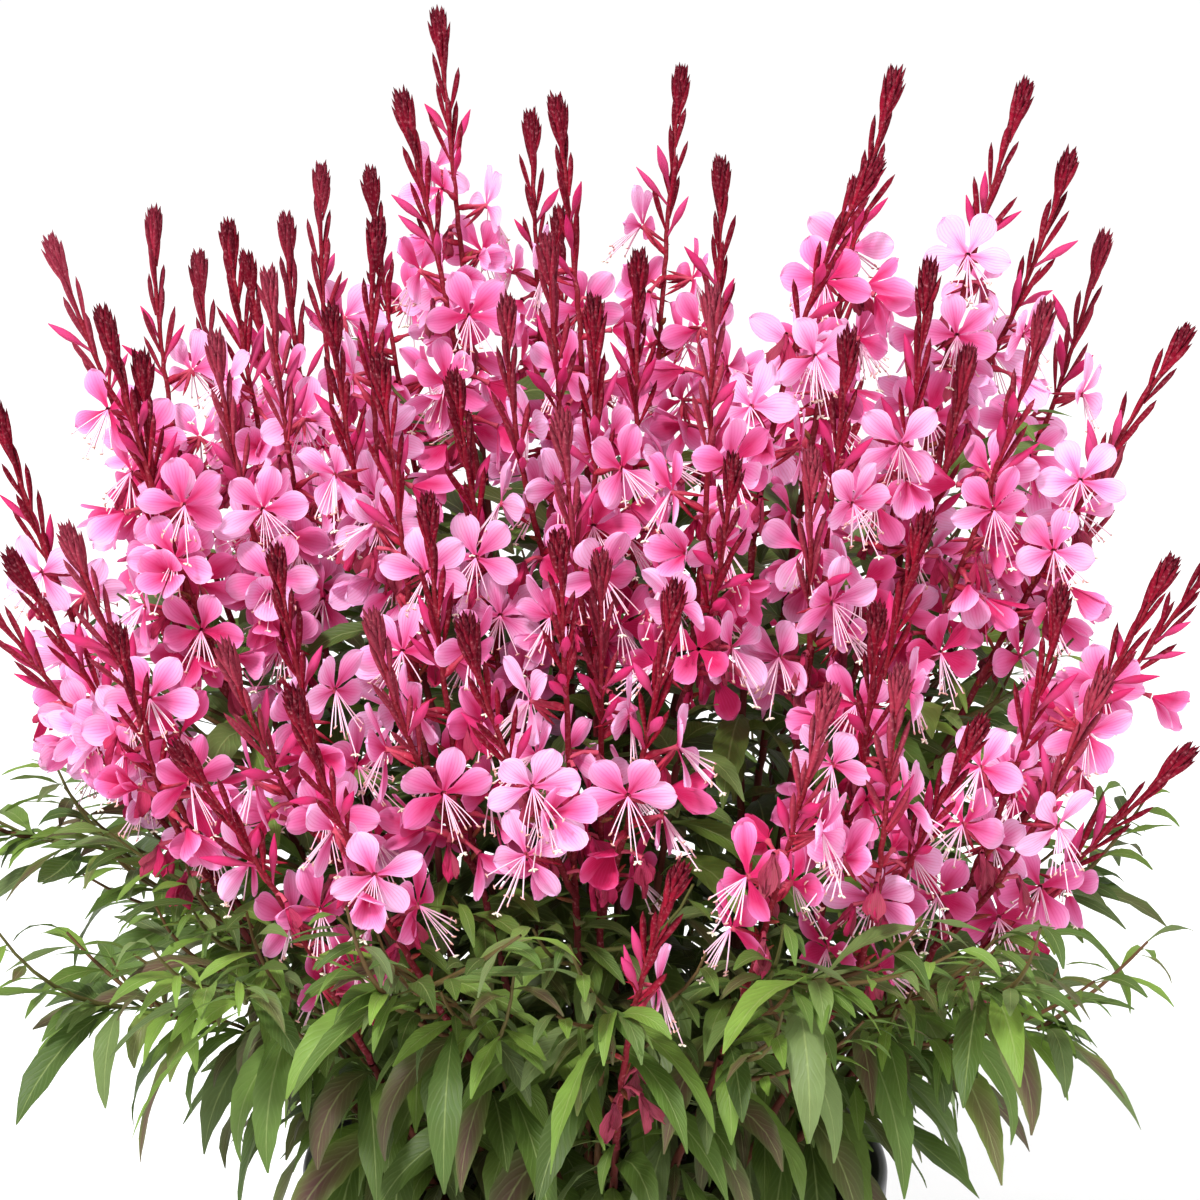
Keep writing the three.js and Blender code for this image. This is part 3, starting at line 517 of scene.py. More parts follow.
def grow_shoot(tip, i):
    """A low leafy shoot, grown as a stem is but with nothing on its tip."""
    draw = draws(SHOOT_SEED + i)
    k = nearest_crown(tip[0] * BASE_SHARE, tip[1] * BASE_SHARE)
    cx, cy = crowns[k]

    def propose(loose):
        turn = math.atan2(tip[1] - cy, tip[0] - cx) + (draw() - 0.5) * SHOOT_TURN
        root_x = cx + BASE_REACH * math.cos(turn)
        root_y = cy + BASE_REACH * math.sin(turn)
        end_x = tip[0] + (draw() - 0.5) * SHOOT_SHIFT * loose
        end_y = tip[1] + (draw() - 0.5) * SHOOT_SHIFT * loose
        end_z = tip[2] + POT_HEIGHT + (draw() - 0.5) * SHOOT_LIFT * loose
        level = unit((end_x - root_x, end_y - root_y, 0))[:2]
        rising = unit((*level, SHOOT_STEEP))
        root = (root_x, root_y, SOIL_TOP + BASE_RISE)
        points = stalk_curve(root, rising, (end_x, end_y, end_z), unit((*level, SHOOT_TIP_STEEP)))
        balls = balls_along(points, STEM_FOOT, length_of(points), STEM_BALL, STEM_BALL_STEP)
        return points, [(balls, f"clump{k}/", f"clump{k}/shoot{i}/")]

    points = least_crowded(propose)
    total = length_of(points)
    run = sampled(points, evenly(0, total, STEM_STEPS))
    return {"i": i, "crown": k, "draw": draw, "points": points, "junction": total, "stem_run": run}


def bloom_frame(root, tube, facing, roll):
    level = across((0, 0, 1), facing)
    right = cross(level, facing)
    up = add(mul(level, math.cos(roll)), mul(right, math.sin(roll)))
    hub = along(root, tube, TUBE_LENGTH)
    return {"root": root, "hub": hub, "facing": facing, "up": up, "right": cross(up, facing)}


def petal_angles(spread):
    sides = (-PETAL_SIDE_ANGLE, -PETAL_TOP_ANGLE, PETAL_TOP_ANGLE, PETAL_SIDE_ANGLE)
    return [rad(90 + a * spread) for a in sides]


def in_bloom(bloom, radius, angle, sidestep, lift):
    c = math.cos(angle)
    s = math.sin(angle)
    flat = along(bloom["hub"], bloom["right"], radius * c - sidestep * s)
    flat = along(flat, bloom["up"], radius * s + sidestep * c)
    return along(flat, bloom["facing"], lift)


def tube_balls(bloom):
    return [(mix(bloom["root"], bloom["hub"], TUBE_MIDDLE), TUBE_BALL), (bloom["hub"], HUB_BALL)]


def petal_balls(bloom):
    balls = []
    tilt = math.sin(bloom["tilt"])
    for a in petal_angles(bloom["spread"]):
        balls.append((in_bloom(bloom, CLAW_OUT, a, 0, CLAW_OUT * tilt), CLAW_BALL))
        balls.append((in_bloom(bloom, BLADE_OUT, a, -BLADE_ASIDE, BLADE_OUT * tilt), BLADE_BALL))
        balls.append((in_bloom(bloom, BLADE_OUT, a, BLADE_ASIDE, BLADE_OUT * tilt), BLADE_BALL))
    return balls


def try_bloom(stem, stalk, up, swing, draw):
    root, _ = point_at(stalk["run"], up - draw() * BLOOM_DROP)
    outward = math.atan2(root[1], root[0])
    azimuth = outward + rad(swing * TUBE_SWING)
    rise = rad(LEAST_TUBE_RISE + draw() * TUBE_RISE_RANGE)
    level = math.cos(rise)
    tube = (math.cos(azimuth) * level, math.sin(azimuth) * level, math.sin(rise))
    face = outward + rad(swing * FACE_SWING)
    facing = unit((math.cos(face), math.sin(face), (draw() - FACE_DROOP) * FACE_TILT_RANGE))
    bloom = bloom_frame(root, tube, facing, rad((draw() - 0.5) * BLOOM_ROLL_RANGE))
    bloom["spread"] = 1 if draw() < USUAL_SHARE else WIDE_SPREAD
    bloom["tilt"] = rad(LEAST_PETAL_TILT + draw() * PETAL_TILT_RANGE)
    petals = petal_balls(bloom)
    if crowding(tube_balls(bloom), f"spray{stem['i']}/stalk/") or crowding(petals, NOBODY):
        return None
    if not clear_of_pot(petals):
        return None
    claim(tube_balls(bloom) + petals, f"spray{stem['i']}/bloom/")
    return bloom


def grow_blooms(stem):
    draw = stem["draw"]
    stem["blooms"] = []
    for which, stalk in enumerate(stem["stalks"]):
        wanted = stem["row"][4] if which == 0 else max(2, stem["row"][4] - 2)
        turn = draw() * 360
        for n in range(wanted):
            up = stalk["length"] - (SPIKE_LENGTH - CLUSTER_LENGTH) - BLOOM_BELOW - n * BLOOM_SPACING
            if up < BLOOM_FOOT:
                break
            for attempt in range(BLOOM_TRIES):
                swing = (turn + n * GOLDEN_ANGLE + attempt * BLOOM_RETRY_TURN) % 360 - 180
                bloom = try_bloom(stem, stalk, up, swing, draw)
                if bloom:
                    bloom["order"] = n
                    bloom["stalk"] = stalk
                    stem["blooms"].append(bloom)
                    break


def leaf_point(leaf, t):
    a = leaf["start_slope"]
    b = leaf["end_slope"] - a
    out = leaf["length"] * (math.sin(a + b * t) - math.sin(a)) / b
    rise = leaf["length"] * (math.cos(a) - math.cos(a + b * t)) / b
    level = (math.cos(leaf["azimuth"]) * out, math.sin(leaf["azimuth"]) * out, rise)
    return add(leaf["root"], level)


def leaf_half_width(leaf, t):
    return leaf["width"] / 2 * math.sin(math.pi * t**LEAF_BULGE)


def leaf_balls(leaf):
    count = math.ceil(leaf["length"] / LEAF_BALL_STEP)
    places = [i / count for i in range(1, count + 1)]
    radii = [max(LEAST_LEAF_BALL, leaf_half_width(leaf, t) * LEAF_BALL_SHARE) for t in places]
    return [(leaf_point(leaf, t), radius) for t, radius in zip(places, radii)]


def grow_leaf(found, carrier, draw, wish):
    for attempt in range(LEAF_TRIES):
        length = wish["length"] * (1 - attempt * LEAF_SHRINK)
        leaf = {
            "root": wish["root"],
            "azimuth": wish["azimuth"] + (draw() - 0.5) * (LEAF_TURN + attempt * LEAF_RETRY_TURN),
            "length": length,
            "width": length * (LEAF_SLIM + draw() * LEAF_SLIM_RANGE),
            "start_slope": rad(wish["start_slope"] + (draw() - 0.5) * START_SLOPE_RANGE),
            "end_slope": rad(wish["end_slope"] + (draw() - 0.5) * END_SLOPE_RANGE),
            "roll": rad((draw() - 0.5) * LEAF_ROLL_RANGE),
        }
        balls = leaf_balls(leaf)
        if crowding(balls, carrier) == 0 and clear_of_pot(balls):
            claim(balls, "leaf/")
            found.append(leaf)
            return


def stem_leaf_azimuth(stem, n, share, root, way):
    """Leaves of a stem wind round it, and lean outward."""
    swing = (n * GOLDEN_ANGLE + stem["i"] * STEM_LEAF.turn) % 360 - 180
    return math.atan2(root[1], root[0]) + rad(swing * STEM_LEAF.swing)


def shoot_leaf_azimuth(shoot, n, share, root, way):
    """Leaves of a shoot stand left and right of it by turns, closer to its way toward the tip."""
    turn = rad(SHOOT_LEAF.turn - SHOOT_LEAF.closer * share)
    return math.atan2(way[1], way[0]) + (turn if n % 2 else -turn)


def grow_leaves_along(stem, kind, draw, rule, azimuth_of, found):
    run = stem["stem_run"]
    room = length_of(run) - rule.foot - rule.end
    wanted = math.floor(room / rule.spacing + 0.5) + 1
    for n in range(wanted):
        share = (n + draw() * rule.uneven) / wanted
        root, way = point_at(run, rule.foot + room * share)
        wish = {
            "root": root,
            "azimuth": azimuth_of(stem, n, share, root, way),
            "length": rule.length - rule.shorter * share + draw() * rule.extra,
            "start_slope": rule.start_slope,
            "end_slope": rule.end_slope + rule.flatter * share,
        }
        grow_leaf(found, f"clump{stem['crown']}/{kind}{stem['i']}/", draw, wish)


def grow_rim_leaves(k, found):
    draw = draws(RIM_SEED + k)
    cx, cy = crowns[k]
    outward = math.atan2(cy, cx)
    for n in range(RIM_LEAVES):
        azimuth = outward + rad((n / (RIM_LEAVES - 1) - 0.5) * RIM_LEAF.fan)
        x = cx + math.cos(azimuth) * RIM_LEAF.out
        y = cy + math.sin(azimuth) * RIM_LEAF.out
        wish = {key: getattr(RIM_LEAF, key) for key in ("length", "start_slope", "end_slope")}
        wish |= {"root": (x, y, SOIL_TOP + RIM_LEAF.up), "azimuth": azimuth}
        grow_leaf(found, f"clump{k}/", draw, wish)


stems = [grow_stem(row, i) for i, row in enumerate(SPRAYS)]
for stem in stems:
    grow_fork(stem)
shoots = [grow_shoot(tip, i) for i, tip in enumerate(SHOOTS)]
for stem in stems:
    grow_blooms(stem)
leaves = [[] for _ in crowns]
for k in range(1, len(crowns)):
    grow_rim_leaves(k, leaves[k])
for shoot in shoots:
    mine = leaves[shoot["crown"]]
    grow_leaves_along(shoot, "shoot", shoot["draw"], SHOOT_LEAF, shoot_leaf_azimuth, mine)
for stem in stems:
    mine = leaves[stem["crown"]]
    draw = draws(LEAF_SEED + stem["i"])
    grow_leaves_along(stem, "stem", draw, STEM_LEAF, stem_leaf_azimuth, mine)


# Fine pieces: sheets and tubes in millimetres, each point with a colour and its place on the blade
LEAST_SIZE = 1e-9
DOWN = np.array([0, 0, -1.0])
FLATTER = np.array([1, 1, 0.3])
PHASE = (0, 6)
AROUND = (0, 6.28)

# Directions that no stalk, bud or tube runs along, to turn the rings of a tube by
OFF_STALKS = np.array([0.05, 1.0, 0.02])
OFF_BUDS = np.array([0.31, 0.17, 0.93])
OFF_TUBES = (0.2, 0.1, 1.0)


def unit_rows(a):
    return a / np.maximum(np.linalg.norm(a, axis=-1, keepdims=True), LEAST_SIZE)


def blend(a, b, share):
    share = np.asarray(share, float)[..., None]
    return np.asarray(a, float) * (1 - share) + np.asarray(b, float) * share


def shares(count):
    return np.linspace(0, 1, count)


def sides_of(columns):
    return np.linspace(-1, 1, columns)


def clipped(a):
    return np.clip(a, 0, 1)


def stacked(*parts):
    return np.stack(np.broadcast_arrays(*parts), axis=-1)


class Piece:
    """A mesh gathered part by part. Each part names the material that it is made of."""

    def __init__(self):
        self.count = 0
        self.points = []
        self.faces = []
        self.tints = []
        self.places = []
        self.kinds = []

    def add(self, kind, grids, tints, places=(0, 0, 0), closed=False):
        """Adds an array of sheets (number, rows, columns, xyz), or of tubes if closed."""
        index = self.count + np.arange(grids.size // 3).reshape(grids.shape[:3])
        here = index if closed else index[:, :, :-1]
        ahead = np.roll(index, -1, axis=2) if closed else index[:, :, 1:]
        quads = np.stack([here[:, :-1], ahead[:, :-1], ahead[:, 1:], here[:, 1:]], axis=-1)
        self.faces.append(quads.reshape(-1, 4))
        self.points.append(grids.reshape(-1, 3))
        self.tints.append(np.broadcast_to(tints, grids.shape).reshape(-1, 3))
        self.places.append(np.broadcast_to(places, grids.shape).reshape(-1, 3))
        self.kinds += [kind] * (quads.size // 4)
        self.count += index.size

    def add_tubes(self, kind, grids, tints):
        self.add(kind, grids, tints, closed=True)

    def build(self, name, node):
        points = np.concatenate(self.points) * MM
        faces = np.concatenate(self.faces)
        mesh = bpy.data.meshes.new(name)
        mesh.vertices.add(len(points))
        mesh.vertices.foreach_set("co", points.ravel())
        mesh.loops.add(faces.size)
        mesh.loops.foreach_set("vertex_index", faces.ravel().astype(np.int32))
        mesh.polygons.add(len(faces))
        mesh.polygons.foreach_set("loop_start", np.arange(0, faces.size, 4, dtype=np.int32))
        mesh.polygons.foreach_set("use_smooth", np.ones(len(faces), dtype=bool))
        kinds = sorted(set(self.kinds))
        for kind in kinds:
            mesh.materials.append(materials[kind])
        numbers = np.array([kinds.index(kind) for kind in self.kinds], dtype=np.int32)
        mesh.polygons.foreach_set("material_index", numbers)
        colours = np.ones((len(points), 4))
        colours[:, :3] = np.concatenate(self.tints)
        tint = mesh.attributes.new("tint", "FLOAT_COLOR", "POINT")
        tint.data.foreach_set("color", colours.ravel())
        place = mesh.attributes.new("place", "FLOAT_VECTOR", "POINT")
        place.data.foreach_set("vector", np.concatenate(self.places).ravel())
        mesh.update(calc_edges=True)
        mesh.validate()
        obj = bpy.data.objects.new(name, mesh)
        bpy.context.scene.collection.objects.link(obj)
        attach(obj, "root")
        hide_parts(node)
        return obj


def tubes(paths, radii, sides, refs):
    """Round tubes along an array of paths (number, rings, xyz), as (number, rings, sides, xyz)."""
    way = unit_rows(np.gradient(paths, axis=1))
    side = unit_rows(np.cross(way, refs))
    other = np.cross(way, side)
    turn = 2 * np.pi * np.arange(sides) / sides
    ring = side[:, :, None] * np.cos(turn)[:, None] + other[:, :, None] * np.sin(turn)[:, None]
    return paths[:, :, None] + ring * radii[..., None, None]


def spindles(bases, ways, lengths, radii, bends, profile, sides):
    """Slender bodies from each base along its way, bent toward bends, with radii along a profile."""
    t = shares(len(profile))[:, None]
    paths = bases[:, None] + ways[:, None] * (lengths[:, None, None] * t) + bends[:, None] * t**2
    refs = unit_rows(np.cross(ways, OFF_BUDS))[:, None]
    return tubes(paths, radii[:, None] * np.asarray(profile), sides, refs)


class Path:
    """A smooth curve that can be read at any distance along it."""

    def __init__(self, points):
        self.points = np.array(points)
        legs = np.linalg.norm(np.diff(self.points, axis=0), axis=1)
        self.marks = np.concatenate([[0], np.cumsum(legs)])
        self.total = self.marks[-1]

    def at(self, distances):
        return np.stack([np.interp(distances, self.marks, axis) for axis in self.points.T], axis=-1)

    def frames(self, distances):
        """Points, ways along the path, and two directions across it."""
        ways = unit_rows(self.at(distances + 1) - self.at(distances - 1))
        level = unit_rows(np.cross(ways, OFF_STALKS))
        return self.at(distances), ways, level, np.cross(ways, level)

    def leaving(self, distances, azimuths, tilts):
        """Points, ways straight out of the path there, and ways tilted out of it in degrees."""
        spots, ways, level, other = self.frames(distances)
        radial = level * np.cos(azimuths)[:, None] + other * np.sin(azimuths)[:, None]
        tilts = np.radians(tilts)
        return spots, radial, ways * np.cos(tilts)[:, None] + radial * np.sin(tilts)[:, None]

    def tube(self, marks, wobble, radii, rng):
        """A tube along the path with a slight wobble."""
        spots = self.at(np.maximum(marks, 0)) + rng.normal(0, wobble, (len(marks), 3))
        return tubes(spots[None], radii[None], STALK_SIDES, OFF_STALKS)

    def nearest(self, point):
        return self.points[np.argmin(np.linalg.norm(self.points - np.array(point), axis=1))]


# Colours, in linear light
PETAL_LIGHT = (0.97, 0.57, 0.87)
PETAL_MID = (0.88, 0.20, 0.49)
PETAL_DEEP = (0.60, 0.020, 0.12)
PETAL_VEIN = (0.70, 0.05, 0.24)
BUD_DARK = (0.050, 0.002, 0.007)
BUD_RED = (0.29, 0.006, 0.024)
BUD_PALE = (0.46, 0.07, 0.12)
BUD_HAIR = (0.60, 0.20, 0.24)
STALK_RED = (0.11, 0.012, 0.016)
FADED_PINK = (0.30, 0.06, 0.08)
TUBE_RED = (0.48, 0.07, 0.12)
FILAMENT = (0.92, 0.62, 0.74)
ANTHER = (0.70, 0.38, 0.30)
STIGMA = (0.90, 0.86, 0.66)
STAMEN_SPECK = (0.75, 0.35, 0.5)
STEM_GREEN = (0.10, 0.12, 0.030)
STEM_MAROON = (0.13, 0.030, 0.020)
STEM_GRAIN = (0.035, 0.018, 0.010)
LEAF_DARK = (0.036, 0.078, 0.012)
LEAF_MID = (0.100, 0.185, 0.030)
LEAF_BRIGHT = (0.22, 0.37, 0.055)
LEAF_GREY = (0.15, 0.20, 0.085)
LEAF_MAROON = (0.120, 0.050, 0.048)
# Painted shade, laid on leaves inside the plant
LEAF_SHADE = (0.035, 0.038, 0.008)
LEAF_BLOTCH = (0.06, 0.075, 0.010)
LEAF_VEIN = (0.26, 0.36, 0.11)
LEAF_RIB = (0.36, 0.43, 0.16)
SOIL_DARK = (0.020, 0.013, 0.009)
SOIL_BROWN = (0.075, 0.045, 0.027)
WOOD_BROWN = (0.12, 0.070, 0.040)
PLASTIC_TINT = (0.05, 0.05, 0.05)
PLASTIC_DARK = (0.042, 0.044, 0.048)
PLASTIC_PALE = (0.085, 0.087, 0.090)
WHITE = (1, 1, 1)


# Buds and spent blooms. Pairs are the ends of a random range, in millimetres or degrees. Fours are the
# first value down the spike, its change down it, and the ends of a random range on top.
CLUSTER_BUDS = 24
CLUSTER = Rule(
    foot=19.5, rise=11.5, dome=5.0, round=1.5, uneven=(0, 2.0), out=0.5,
    reach=(3.7, -2.3, -0.3, 0.4), radius=(1.02, -0.22, -0.1, 0.12), bend=0.2, red=0.45,
    darker=0.3, profile=(0.45, 0.75, 1.0, 0.95, 0.6, 0.05),
)
SIDE_BUDS = 11
SIDE_BUD = Rule(
    first=18, step=4.2, tilt=(4, 1.5, -2, 9), length=(14, 0.45, -2.5, 2.5),
    radius=(0.98, 0, -0.12, 0.16), bend=(-0.4, 1.6), out=0.6, red=0.25, redder=0.05,
    profile=(0.45, 0.55, 0.8, 0.97, 1.0, 0.85, 0.06),
)
HALF_OPEN = Rule(
    down=CLUSTER_LENGTH + np.array([24.0, 31.0, 38.0]), shift=(-4, 4), tilt=(22, 48),
    length=(14, 19), radius=(1.2, 1.8), out=0, bend=0.8, light=(-0.7, 0.6), tube=0.3, fade=2.2,
    profile=(0.3, 0.34, 0.42, 0.8, 1.0, 0.9, 0.55, 0.1),
)
STUB = Rule(
    foot=10, below=62, step=8.0, shift=(-2, 2), tilt=(25, 60), length=(4, 8), radius=(0.7, 1.0),
    out=0, bend=0.4, green_foot=(0, 0.7), green_tip=(0, 0.5), profile=(0.5, 0.9, 1.0, 0.75, 0.2),
)
FADED_BLOOMS = 3
FADED_PETALS = 4
FADED_ROWS = 6
FADED_COLUMNS = 5
FADED = Rule(
    down=(62, 118), foot=8, out=(4, 9), sink=(-3, 2), half=(1.6, 3.0), length=(8, 13),
    hang_out=(0, 0.7), hang_aside=(0, 0.5), fold=0.9, fold_across=3.4, fold_along=5, low=100,
    low_tone=(0.8, 1.0), high_tone=(0.1, 1.0), tube=np.array([[0.8, 0.6, 0.9]]),
)
BUD_SIDES = 5
HALF_OPEN_SIDES = 7
# Painted shade and light: the sides of each bud are made darker and lighter by turns, in place of the
# shade in its creases
BUD_RIB_SHADE = np.array([1.25, 0.6, 1.1, 0.75, 0.95])[:, None]
BUD_FADE = 0.8
REDNESS_RANGE = (-0.25, 0.25)
FOOT_REDDER = 0.3
TIP_DARKER = 0.45
PALE_SPIKES = (0, 0, 0, 0.12, 0.3)
STALK_STEP = 4.0
STALK_SIDES = 7
STALK_RADIUS = 1.15
STALK_TAPER = 0.45
STALK_WOBBLE = 0.16
STALK_END = 8


def spiral(count, rng):
    return np.radians(GOLDEN_ANGLE) * np.arange(count) + rng.uniform(*PHASE)


def drawn(rule, j, rng):
    """A random value for each bud, from a pair, or from a four on top of its graded value."""
    value = rng.uniform(*rule[-2:], len(j))
    return value if len(rule) == 2 else rule[0] + rule[1] * j + value


def bud_forms(path, marks, azimuths, rule, rng):
    """Where buds stand on a path, the way they point, their lengths and radii, and the way out."""
    j = np.arange(len(marks))
    tilts, lengths, radii = (drawn(part, j, rng) for part in (rule.tilt, rule.length, rule.radius))
    spots, radial, outward = path.leaving(marks, azimuths, tilts)
    return spots + radial * rule.out, outward, lengths, radii, radial


def bud_tints(foot, tip, rows):
    """Colours from foot to tip for each bud of a list, striped round each bud with painted shade and
    light for its creases.
    """
    share = shares(rows)[None, :, None] ** BUD_FADE
    plain = foot[:, None] * (1 - share) + tip[:, None] * share
    return plain[:, :, None] * BUD_RIB_SHADE


def bud_colours(redness, pale, rng, rows):
    """Each bud dark crimson, redder at its foot, and paler all over on a pale spike."""
    redness = clipped(redness + rng.uniform(*REDNESS_RANGE, len(redness)))
    foot = blend(blend(BUD_DARK, BUD_RED, np.minimum(redness + FOOT_REDDER, 1)), BUD_PALE, pale)
    tip = blend(blend(BUD_DARK, BUD_RED, redness * TIP_DARKER), BUD_PALE, pale)
    return bud_tints(foot, tip, rows)


def add_tip_cluster(piece, path, pale, rng):
    """A blunt brush of upright buds, whose pointed tips end nearly level."""
    j = shares(CLUSTER_BUDS)
    foot = CLUSTER.foot - CLUSTER.rise * j
    lengths = foot - CLUSTER.dome * (1 - j) ** CLUSTER.round - rng.uniform(*CLUSTER.uneven, CLUSTER_BUDS)
    azimuths = spiral(CLUSTER_BUDS, rng)
    tilts = np.degrees(np.arctan2(drawn(CLUSTER.reach, j, rng) - CLUSTER.out, lengths))
    spots, radial, outward = path.leaving(path.total - foot, azimuths, tilts)
    bases = spots + radial * CLUSTER.out
    radii = drawn(CLUSTER.radius, j, rng)
    grids = spindles(bases, outward, lengths, radii, radial * CLUSTER.bend, CLUSTER.profile, BUD_SIDES)
    tints = bud_colours(CLUSTER.red - CLUSTER.darker * j, pale, rng, len(CLUSTER.profile))
    piece.add_tubes("bud", grids, tints)


def add_side_buds(piece, path, pale, rng):
    """Single buds below the brush, long and slender, held close to the stalk."""
    j = np.arange(SIDE_BUDS)
    azimuths = spiral(SIDE_BUDS, rng)
    marks = path.total - SIDE_BUD.first - SIDE_BUD.step * j
    *form, radial = bud_forms(path, marks, azimuths, SIDE_BUD, rng)
    bends = -radial * rng.uniform(*SIDE_BUD.bend, SIDE_BUDS)[:, None]
    tints = bud_colours(SIDE_BUD.red + SIDE_BUD.redder * j, pale, rng, len(SIDE_BUD.profile))
    piece.add_tubes("bud", spindles(*form, bends, SIDE_BUD.profile, BUD_SIDES), tints)


def add_half_open(piece, path, rng):
    """Furled pink blooms that are about to open."""
    count = len(HALF_OPEN.down)
    down = HALF_OPEN.down + rng.uniform(*HALF_OPEN.shift, count)
    azimuths = rng.uniform(*AROUND, count)
    *form, radial = bud_forms(path, path.total - down, azimuths, HALF_OPEN, rng)
    grids = spindles(*form, radial * HALF_OPEN.bend, HALF_OPEN.profile, HALF_OPEN_SIDES)
    share = clipped((shares(len(HALF_OPEN.profile)) - HALF_OPEN.tube) * HALF_OPEN.fade)
    pink = blend(PETAL_DEEP, PETAL_MID, max(0, rng.uniform(*HALF_OPEN.light)))
    piece.add_tubes("petal", grids, blend(TUBE_RED, pink, share)[None, :, None])


def add_stubs(piece, stalk, path, rng):
    """What is left where blooms have fallen, down to the foot of the flower stalk."""
    start = stalk["start"] + STUB.foot
    end = path.total - CLUSTER_LENGTH - STUB.below
    if end < start:
        return
    marks = np.arange(start, end, STUB.step)
    count = len(marks)
    marks = marks + rng.uniform(*STUB.shift, count)
    *form, radial = bud_forms(path, marks, spiral(count, rng), STUB, rng)
    grids = spindles(*form, radial * STUB.bend, STUB.profile, BUD_SIDES)
    foot = blend(STEM_MAROON, STEM_GREEN, rng.uniform(*STUB.green_foot, count))
    tip = blend(BUD_RED, STEM_GREEN, rng.uniform(*STUB.green_tip, count))
    piece.add_tubes("bud", grids, bud_tints(foot, tip, len(STUB.profile)))


def add_faded(piece, path, rng):
    """Spent blooms that hang crumpled under the open ones."""
    down = rng.uniform(*FADED.down, FADED_BLOOMS)
    spots, _, level, _ = path.frames(path.total - np.minimum(down, path.total - FADED.foot))
    s = shares(FADED_ROWS)[:, None]
    w = sides_of(FADED_COLUMNS)
    for spot, across_way in zip(spots, level):
        azimuth = rng.uniform(*AROUND)
        out = np.array([math.cos(azimuth), math.sin(azimuth), 0])
        start = spot + out * rng.uniform(*FADED.out) + DOWN * rng.uniform(*FADED.sink)
        tone = FADED.high_tone if spot[2] > POT_HEIGHT + FADED.low else FADED.low_tone
        for _ in range(FADED_PETALS):
            aside = unit_rows(rng.normal(0, 1, 3) * FLATTER)
            hang_out = out * rng.uniform(*FADED.hang_out)
            hang = unit_rows(DOWN + hang_out + aside * rng.uniform(*FADED.hang_aside))
            face = unit_rows(np.cross(hang, aside))
            half = rng.uniform(*FADED.half) * petal_outline(s, PETAL_WIDEST)
            folds = FADED.fold_across * w + FADED.fold_along * s + rng.uniform(*PHASE)
            grid = start + hang * (s * rng.uniform(*FADED.length))[..., None]
            grid = grid + aside * (w * half)[..., None] + face * (FADED.fold * np.sin(folds))[..., None]
            tint = blend(PETAL_DEEP, FADED_PINK, rng.uniform(*tone))
            piece.add("petal", grid[None], tint, stacked(w, s, 0.5)[None])
        tube = np.stack([spot, (spot + start) / 2 - DOWN, start])
        piece.add_tubes("bud", tubes(tube[None], FADED.tube, BUD_SIDES, across_way), TUBE_RED)


def add_stalk(piece, stalk, rng):
    path = Path(stalk["points"])
    stalk["path"] = path
    pale = rng.choice(PALE_SPIKES)
    marks = np.arange(stalk["start"], path.total - STALK_END, STALK_STEP)
    share = shares(len(marks))
    grids = path.tube(marks, STALK_WOBBLE, STALK_RADIUS - STALK_TAPER * share, rng)
    piece.add_tubes("bud", grids, blend(STALK_RED, BUD_RED, share / 2)[None, :, None])
    add_tip_cluster(piece, path, pale, rng)
    add_side_buds(piece, path, pale, rng)
    add_half_open(piece, path, rng)
    add_faded(piece, path, rng)
    add_stubs(piece, stalk, path, rng)


# Blooms. A cupped bloom is smaller, and is one that opens or closes in the room that others leave.
PETAL_ROWS = 10
PETAL_COLUMNS = 7
CUPPED_ROWS = 7
CUPPED_COLUMNS = 5
PETAL_HALF = 4.8
PETAL_CLAW = 0.12
PETAL_WIDEST = 0.64
PETAL_START = 0.9
PETAL = Rule(
    reach=(0.93, 1.06), width=(0.84, 1.06), widest=(-0.07, 0.06), curl=(-3.4, 1.6),
    cup=(-0.30, 0.36), turn=0.07, notch=0.02, curl_power=2.2, ripple=0.60, waves=4.2,
    crease=0.30, crease_width=0.25, tone=(0.01, 0.10), eye=0.80, eye_power=1.7, stripe=0.22,
    pale_edge=0.24, pale_tip=0.14,
)
FILAMENTS = 8
FILAMENT_ROWS = 5
STAMEN_SIDES = 3
FILAMENT_SPREAD = 0.62
STYLE = Rule(forward=0.5, length=17.5)
STAMEN = Rule(
    turn=0.09, forward=(0.25, 0.75), length=(10.5, 14.0), down=0.8, sag=(0, 2.2),
    bow=(-0.5, 1.8), foot=0.6, radius=0.24, fade=3, ref=0.3,
)
ANTHER_PROFILE = (0.3, 1.0, 1.0, 0.3)
ANTHER_SIZE = Rule(half=0.8, length=1.7, radius=0.38)
STIGMA_SIZE = Rule(length=1.6, radius=0.44, flat=0.8, hang=0.3)
STIGMA_TURNS = (45, 135, 225, 315)
SEPAL_TURNS = (-150, -100, -60, -20)
SEPAL = Rule(
    turn=0.15, out=0.75, back=(0.5, 0.9), foot=0.4, length=(8, 11), radius=0.75, bend=1.5,
    profile=(0.5, 1.0, 0.95, 0.7, 0.12),
)
TUBE_RADII = (0.7, 1.25, 1.2, 0.7, 0.62, 0.75, 1.15)
TUBE_SIDES = 5
TUBE = Rule(bow=0.6, arch=0.8, into=0.3)
CUPPED = 5
CUPPED_BACK = 10
BACK_FROM = 30
CUPPED_TRIES = 6
CUPPED_BLOOM = Rule(
    down=(66, 134), rise=(-0.5, 0.7), droop=(0, 0.9), roll=(-3, 3), tilt=(0.85, 1.35), foot=6,
    above=150, tone=(-0.1, 0.6), back_tone=(-0.1, 0.3),
)
CUP_TILT = 0.5
CUP_BALLS = (4.0, 10.0)
CUP_BALL = 3.2
SPRAY_SEED = 300
SPRAY_TONE = (-0.14, 0.34)
OLDER_DEEPER = 0.11
BLOOM_TONE = (-0.22, 0.18)


def bloom_arrays(blooms, axes=0):
    """The hubs and directions of a list of blooms, with spare axes between the list and xyz."""
    shape = (len(blooms), *(1,) * axes, 3)
    keys = ("hub", "facing", "up", "right")
    return {key: np.array([bloom[key] for bloom in blooms]).reshape(shape) for key in keys}


def per_bloom(values):
    return np.array(values)[:, None, None, None]


